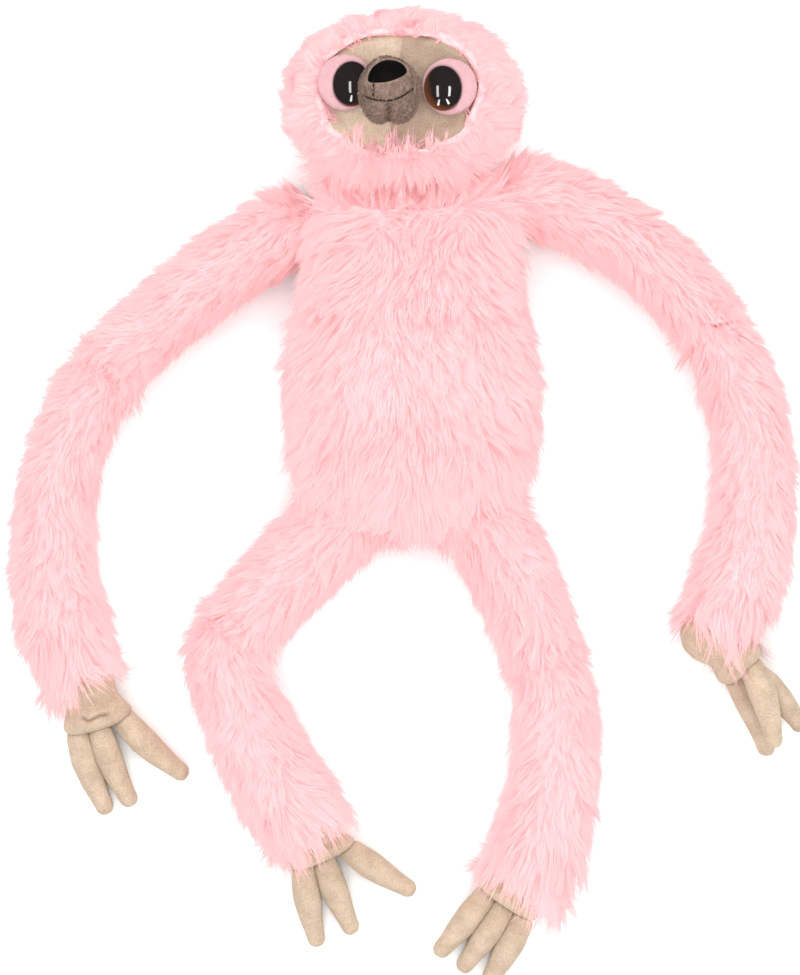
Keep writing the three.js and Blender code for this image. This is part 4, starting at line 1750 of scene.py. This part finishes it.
@dataclass
class Muzzle:
    """The short-plush muzzle, split into two lobes at its foot, with a velour nose and a sewn smile."""

    studio: Studio
    planter: Planter
    fuzz: Pile = Pile(
        density=600_000.0, spacing=2.0 * MM, length=1.5 * MM, width=0.26 * MM, lift=math.radians(25),
        gather=0.15, wave=0.4 * MM, softness=0.6, seed=21,
    )
    cleft: Groove = Groove(((390.0, 100.0), (389.0, 112.0), (388.0, 124.0)), 2.0 * MM, 5.0 * MM, 0.45, 0.0)
    lobes: tuple[Pixel, ...] = ((376.0, 109.0), (405.0, 110.0))
    lobe_reach: float = 7.0 * MM
    lobe_bulge: float = 1.8 * MM
    trim: float = 0.5 * MM
    trim_turn: tuple[float, float] = (0.3, 0.9)
    nose_margin: float = 1.2 * MM
    fuzz_foot: tuple[float, float] = (4 * MM, 9 * MM)
    thinned: float = 0.6
    thinned_from: tuple[float, float] = (-2 * MM, 6 * MM)
    smile: tuple[Pixel, ...] = (
        (365.5, 95.5), (372.0, 98.5), (380.0, 100.0), (389.0, 100.0), (398.0, 97.5), (405.0, 94.0),
        (411.0, 89.5),
    )
    drip: tuple[Pixel, ...] = ((374.5, 81.0), (374.3, 86.0), (374.0, 94.5))
    nose: tuple[Pixel, ...] = (
        (366.0, 82.3), (368.4, 72.4), (374.3, 65.2), (382.5, 60.6), (391.0, 59.7), (400.0, 61.6),
        (407.0, 67.3), (408.4, 74.0), (400.0, 78.0), (390.0, 81.0), (380.0, 82.8), (372.0, 83.4),
    )

    def build(self) -> None:
        """Makes the muzzle, the nose and the stitches."""
        muzzle = SoftPart(
            "muzzle", TAUPE, voxel=0.9 * MM, rounds=12, fill=0.95, shape=self.shape, joined=["nose"],
            grooves=[self.cleft], studio=self.studio,
        ).build()
        surface = faces_of([muzzle.data])
        outline = Opening(self.nose).build(self.studio, surface)
        nose = Patch(
            "nose_velour", outline, surface, rings=24, spokes=80, overlap=0.9 * MM, thickness=1.6 * MM,
            edge_drop=1.0 * MM, edge_from=0.8, bulge=1.9 * MM,
        ).build()
        VELOUR.dress(nose)
        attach(nose, "head")
        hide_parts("nose")
        self.grow(muzzle, outline)
        Stitches(self.smile).build("smile_stitches", self.studio, surface, "head")
        Stitches(self.drip).build("lip_stitches", self.studio, surface, "head")

    def grow(self, muzzle: Piece, nose: Opening) -> None:
        """Grows short fuzz on the muzzle, but not under its nose.

        Args:
            muzzle: The muzzle.
            nose: The nose's outline.
        """
        places = points_of(muzzle.data)
        low = places[:, 2].min()
        lowest, highest = (low + height for height in self.fuzz_foot)
        bridge = eased(places[:, 1] - nose.middle[1], *self.thinned_from)
        values = {
            "comb": unit(places - places.mean(axis=0)) * (1, 1, 0),
            "furriness": (nose.beyond(places) > self.nose_margin) * eased(places[:, 2], lowest, highest),
            "pile": 1 - self.thinned * bridge,
            "pale": np.zeros(len(places)),
            "rise": np.zeros(len(places)),
        }
        for fuzz in self.planter.plant(muzzle, values, self.fuzz, FUZZ, {"muzzle_fuzz": EVERYWHERE}):
            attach(fuzz, "head")

    def shape(self, places: Array, normals: Array) -> Array:
        """Fills the two lobes out and slims the sides of the bridge.

        Args:
            places: The muzzle's places.
            normals: The ways that it faces.

        Returns:
            Its new places.
        """
        high = places[:, 2].max()
        for lobe in self.lobes:
            gap = np.linalg.norm(places[:, :2] - np.array(self.studio.spot(lobe, high))[:2], axis=1)
            places = places + normals * (self.lobe_bulge * np.exp(-((gap / self.lobe_reach) ** 2)))[:, None]
        top, middle = places[:, 1].max(), places[:, 1].mean()
        slim = self.trim * eased(places[:, 1], middle, top) * (1 - eased(normals[:, 2], *self.trim_turn))
        return places - normals * slim[:, None]


@dataclass
class Head:
    """The head: its coat, combed outwards from the face, and everything sewn to its front."""

    studio: Studio
    planter: Planter
    pile: Pile = Pile(length=20 * MM, seed=4, lift=math.radians(24))
    bands: tuple[float, ...] = (EVERYWHERE[0], 150 * MM, EVERYWHERE[1])
    short: float = 0.5
    grown: float = 17 * MM
    chin: float = 7 * MM
    chin_half_angle: float = 0.75
    chin_fade: tuple[float, float] = (0.2, 0.1)
    chin_soft: float = 2 * MM
    front_turn: tuple[float, float] = (-0.2, 0.1)
    front_height: tuple[float, float] = (20 * MM, 35 * MM)
    bare_edge: float = 0.2 * MM
    chin_overlap: float = 2.6 * MM
    root_fade: float = 1.0 * MM
    tuft: float = 1.1
    fringe: float = 1.0
    tuft_rise: float = math.radians(-10)
    edge_rise: float = math.radians(28)
    edge_width: float = 7 * MM
    edge_calm: float = 0.2
    raised: float = 0.85
    raised_from: tuple[float, float] = (-2 * MM, 0.5 * MM)
    raised_to: tuple[float, float] = (4 * MM, 14 * MM)
    # Painted light: the pile over the crown is paler, lifting the shade that the light leaves on the head's
    # top.
    crown: tuple[float, float] = (175 * MM, 200 * MM)
    crown_pale: float = 0.6
    beard: float = 1.35
    beard_rise: float = math.radians(55)
    beard_turn: tuple[float, float] = (0.3, 0.9)
    opening: Opening = field(default_factory=Opening)

    def build(self) -> None:
        """Makes the coat, then the face upon it."""
        nodes = ["head_skin", "head_filling", "face_panel"]
        form = Skin("head_form", nodes, voxel=2.0 * MM, rounds=150).build()
        surface = faces_of([form.data])
        bpy.data.objects.remove(form)
        self.opening.build(self.studio, surface)
        Coat("head", self.planter, self.pile, self.bands, voxel=3.0 * MM).build(self.comb)
        FacePanel(self.opening, surface, self.studio).build()
        Muzzle(self.studio, self.planter).build()
        Eye(Side.RIGHT, (-0.04, 0.1), 1.0).build()
        Eye(Side.LEFT, (0.2, 0.17), 0.95).build()

    def comb(self, places: Array, normals: Array) -> dict[str, Array]:
        """How the pile lies: outwards from the face, but up over the chin's edge of the panel.

        Args:
            places: The ground's places.
            normals: The ways that it faces.

        Returns:
            What the coat needs to know at each place, by name.
        """
        away = places - np.array((*self.opening.middle, 0.0))
        away[:, 2] = 0.0
        beyond = self.opening.beyond(places)
        front = eased(normals[:, 2], *self.front_turn) * eased(places[:, 2], *self.front_height)
        angle = np.arctan2(away[:, 1], away[:, 0])
        none, full = self.chin_half_angle + self.chin_fade[0], self.chin_half_angle - self.chin_fade[1]
        below = eased(np.abs(angle + math.pi / 2), none, full)
        way = unit(away)
        rising = below * front
        rising = rising * (1 - eased(beyond, self.chin - self.chin_soft, self.chin + self.chin_soft))
        way = unit(way * (1 - rising[:, None]) + np.array((0.0, 1.0, 0.0)) * rising[:, None])
        start = self.bare_edge - self.chin_overlap * rising
        inside = front * (1 - eased(beyond - start, 0.0, self.root_fade))
        edge = front * (1 - eased(beyond, 0.0, self.edge_width)) * (1 - rising)
        pile = 1 - front * (1 - self.short) * (1 - eased(beyond, 0.0, self.grown))
        pile = pile * (1 + self.beard * below * eased(beyond, self.chin, self.grown))
        # Painted light on the crown.
        crown = eased(places[:, 1], *self.crown) * self.crown_pale
        bearded = below * eased(-normals[:, 1], *self.beard_turn) * self.beard_rise
        raised = self.raised * front * eased(beyond, *self.raised_from)
        return {
            "comb": way * (1 - self.edge_calm * edge)[:, None],
            "furriness": (1 - inside) * (1 + self.fringe * rising),
            "pile": pile * (1 - rising) + self.tuft * rising,
            "rise": rising * self.tuft_rise + edge * self.edge_rise + bearded,
            "raised": raised * (1 - eased(beyond, *self.raised_to)),
            "pale": np.maximum(crown, rising),
        }


@dataclass
class Paw:
    """A hand or a foot: a short-plush palm with three long stuffed claws that taper to round tips."""

    body: str
    studio: Studio
    creases: tuple[Groove, ...] = ()
    swell: float = 0.5 * MM
    tip_from: float = 0.5
    tip_share: float = 0.88
    slices: int = 13
    slice_reach: float = 0.07
    voxel: float = 1.3 * MM
    creased_voxel: float = 1.0 * MM

    def build(self) -> None:
        """Makes the palm and its claws."""
        voxel = self.creased_voxel if self.creases else self.voxel
        palm = {"shape": self.swollen, "grooves": self.creases, "studio": self.studio}
        for name, node in frame["nodes"].items():
            if node["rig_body"] == self.body:
                given = {"shape": self.tapered} if name.endswith("_claw") else palm
                SoftPart(name, BEIGE, voxel, **given).build()

    def swollen(self, places: Array, normals: Array) -> Array:
        """Swells the palm a little."""
        return places + normals * self.swell

    def tapered(self, places: Array, normals: Array) -> Array:
        """Swells a claw a little and draws its tip in.

        Args:
            places: The claw's places.
            normals: The ways that it faces.

        Returns:
            Its new places.
        """
        middle = places.mean(axis=0)
        axis = np.linalg.svd(places - middle, full_matrices=False)[2][0]
        palm = points_of(frame["nodes"][self.body].data).mean(axis=0)
        axis = axis * np.sign((middle - palm) @ axis)
        along = (places - middle) @ axis
        share = (along - along.min()) / np.ptp(along)
        stops = np.linspace(0, 1, self.slices)
        near = [np.abs(share - stop) < self.slice_reach for stop in stops]
        cores = np.array([places[inside].mean(axis=0) for inside in near])
        core = np.stack([np.interp(share, stops, column) for column in cores.T], axis=1)
        drawn = 1 - (1 - self.tip_share) * eased(share, self.tip_from, 1.0)
        return core + (places - core) * drawn[:, None] + normals * self.swell


class Sloth:
    """The whole toy."""

    def __init__(self, studio: Studio) -> None:
        """Takes the studio that its face is lined up in."""
        self.studio = studio
        self.planter = Planter(LockShapes())

    def build(self) -> None:
        """Makes the parts in order."""
        limbs = (
            Limb(Side.RIGHT, Kind.ARM, -150.0, (20.0, 53.0), 12.0, self.planter, Pile(seed=11)),
            Limb(
                Side.LEFT, Kind.ARM, -14.0, (-48.0, -58.0), -2.0, self.planter, Pile(seed=12),
                cuff_growth=1.3, cuff_rise=math.radians(-26), cuff_aim=(15 * MM, -31 * MM),
            ),
            Limb(
                Side.RIGHT, Kind.LEG, -138.0, (10.0, 24.0), 52.0, self.planter, Pile(seed=13),
                cuff_growth=0.75,
            ),
            Limb(
                Side.LEFT, Kind.LEG, -59.0, (-16.0, -38.0), -4.0, self.planter, Pile(seed=14),
                cuff_growth=1.1,
            ),
        )
        Torso(self.planter).build()
        for limb in limbs:
            limb.build()
        palm_crease = Groove(
            ((76.0, 714.0), (88.0, 721.0), (99.0, 715.5), (114.5, 712.5)), width=1.3 * MM, depth=1.6 * MM
        )
        for side in Side:
            for kind in Kind:
                creases = (palm_crease,) if (side, kind) == (Side.RIGHT, Kind.ARM) else ()
                Paw(f"{side.word}_{kind.lengths[2]}", self.studio, creases).build()
        Head(self.studio, self.planter).build()


def main() -> None:
    """Builds the studio and the toy, and logs each shown piece's triangle count and size."""
    logging.basicConfig(level=logging.INFO, format="%(name)s: %(message)s", stream=sys.stdout)
    studio = Studio()
    studio.build()
    Sloth(studio).build()
    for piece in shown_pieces():
        count = sum(len(p.vertices) - 2 for p in piece.data.polygons)
        size = " x ".join(f"{side / MM:.0f}" for side in np.ptp(points_of(piece.data), axis=0))
        log.info("%s: %d triangles, %s mm", piece.name, count, size)


if __name__ == "__main__":
    main()
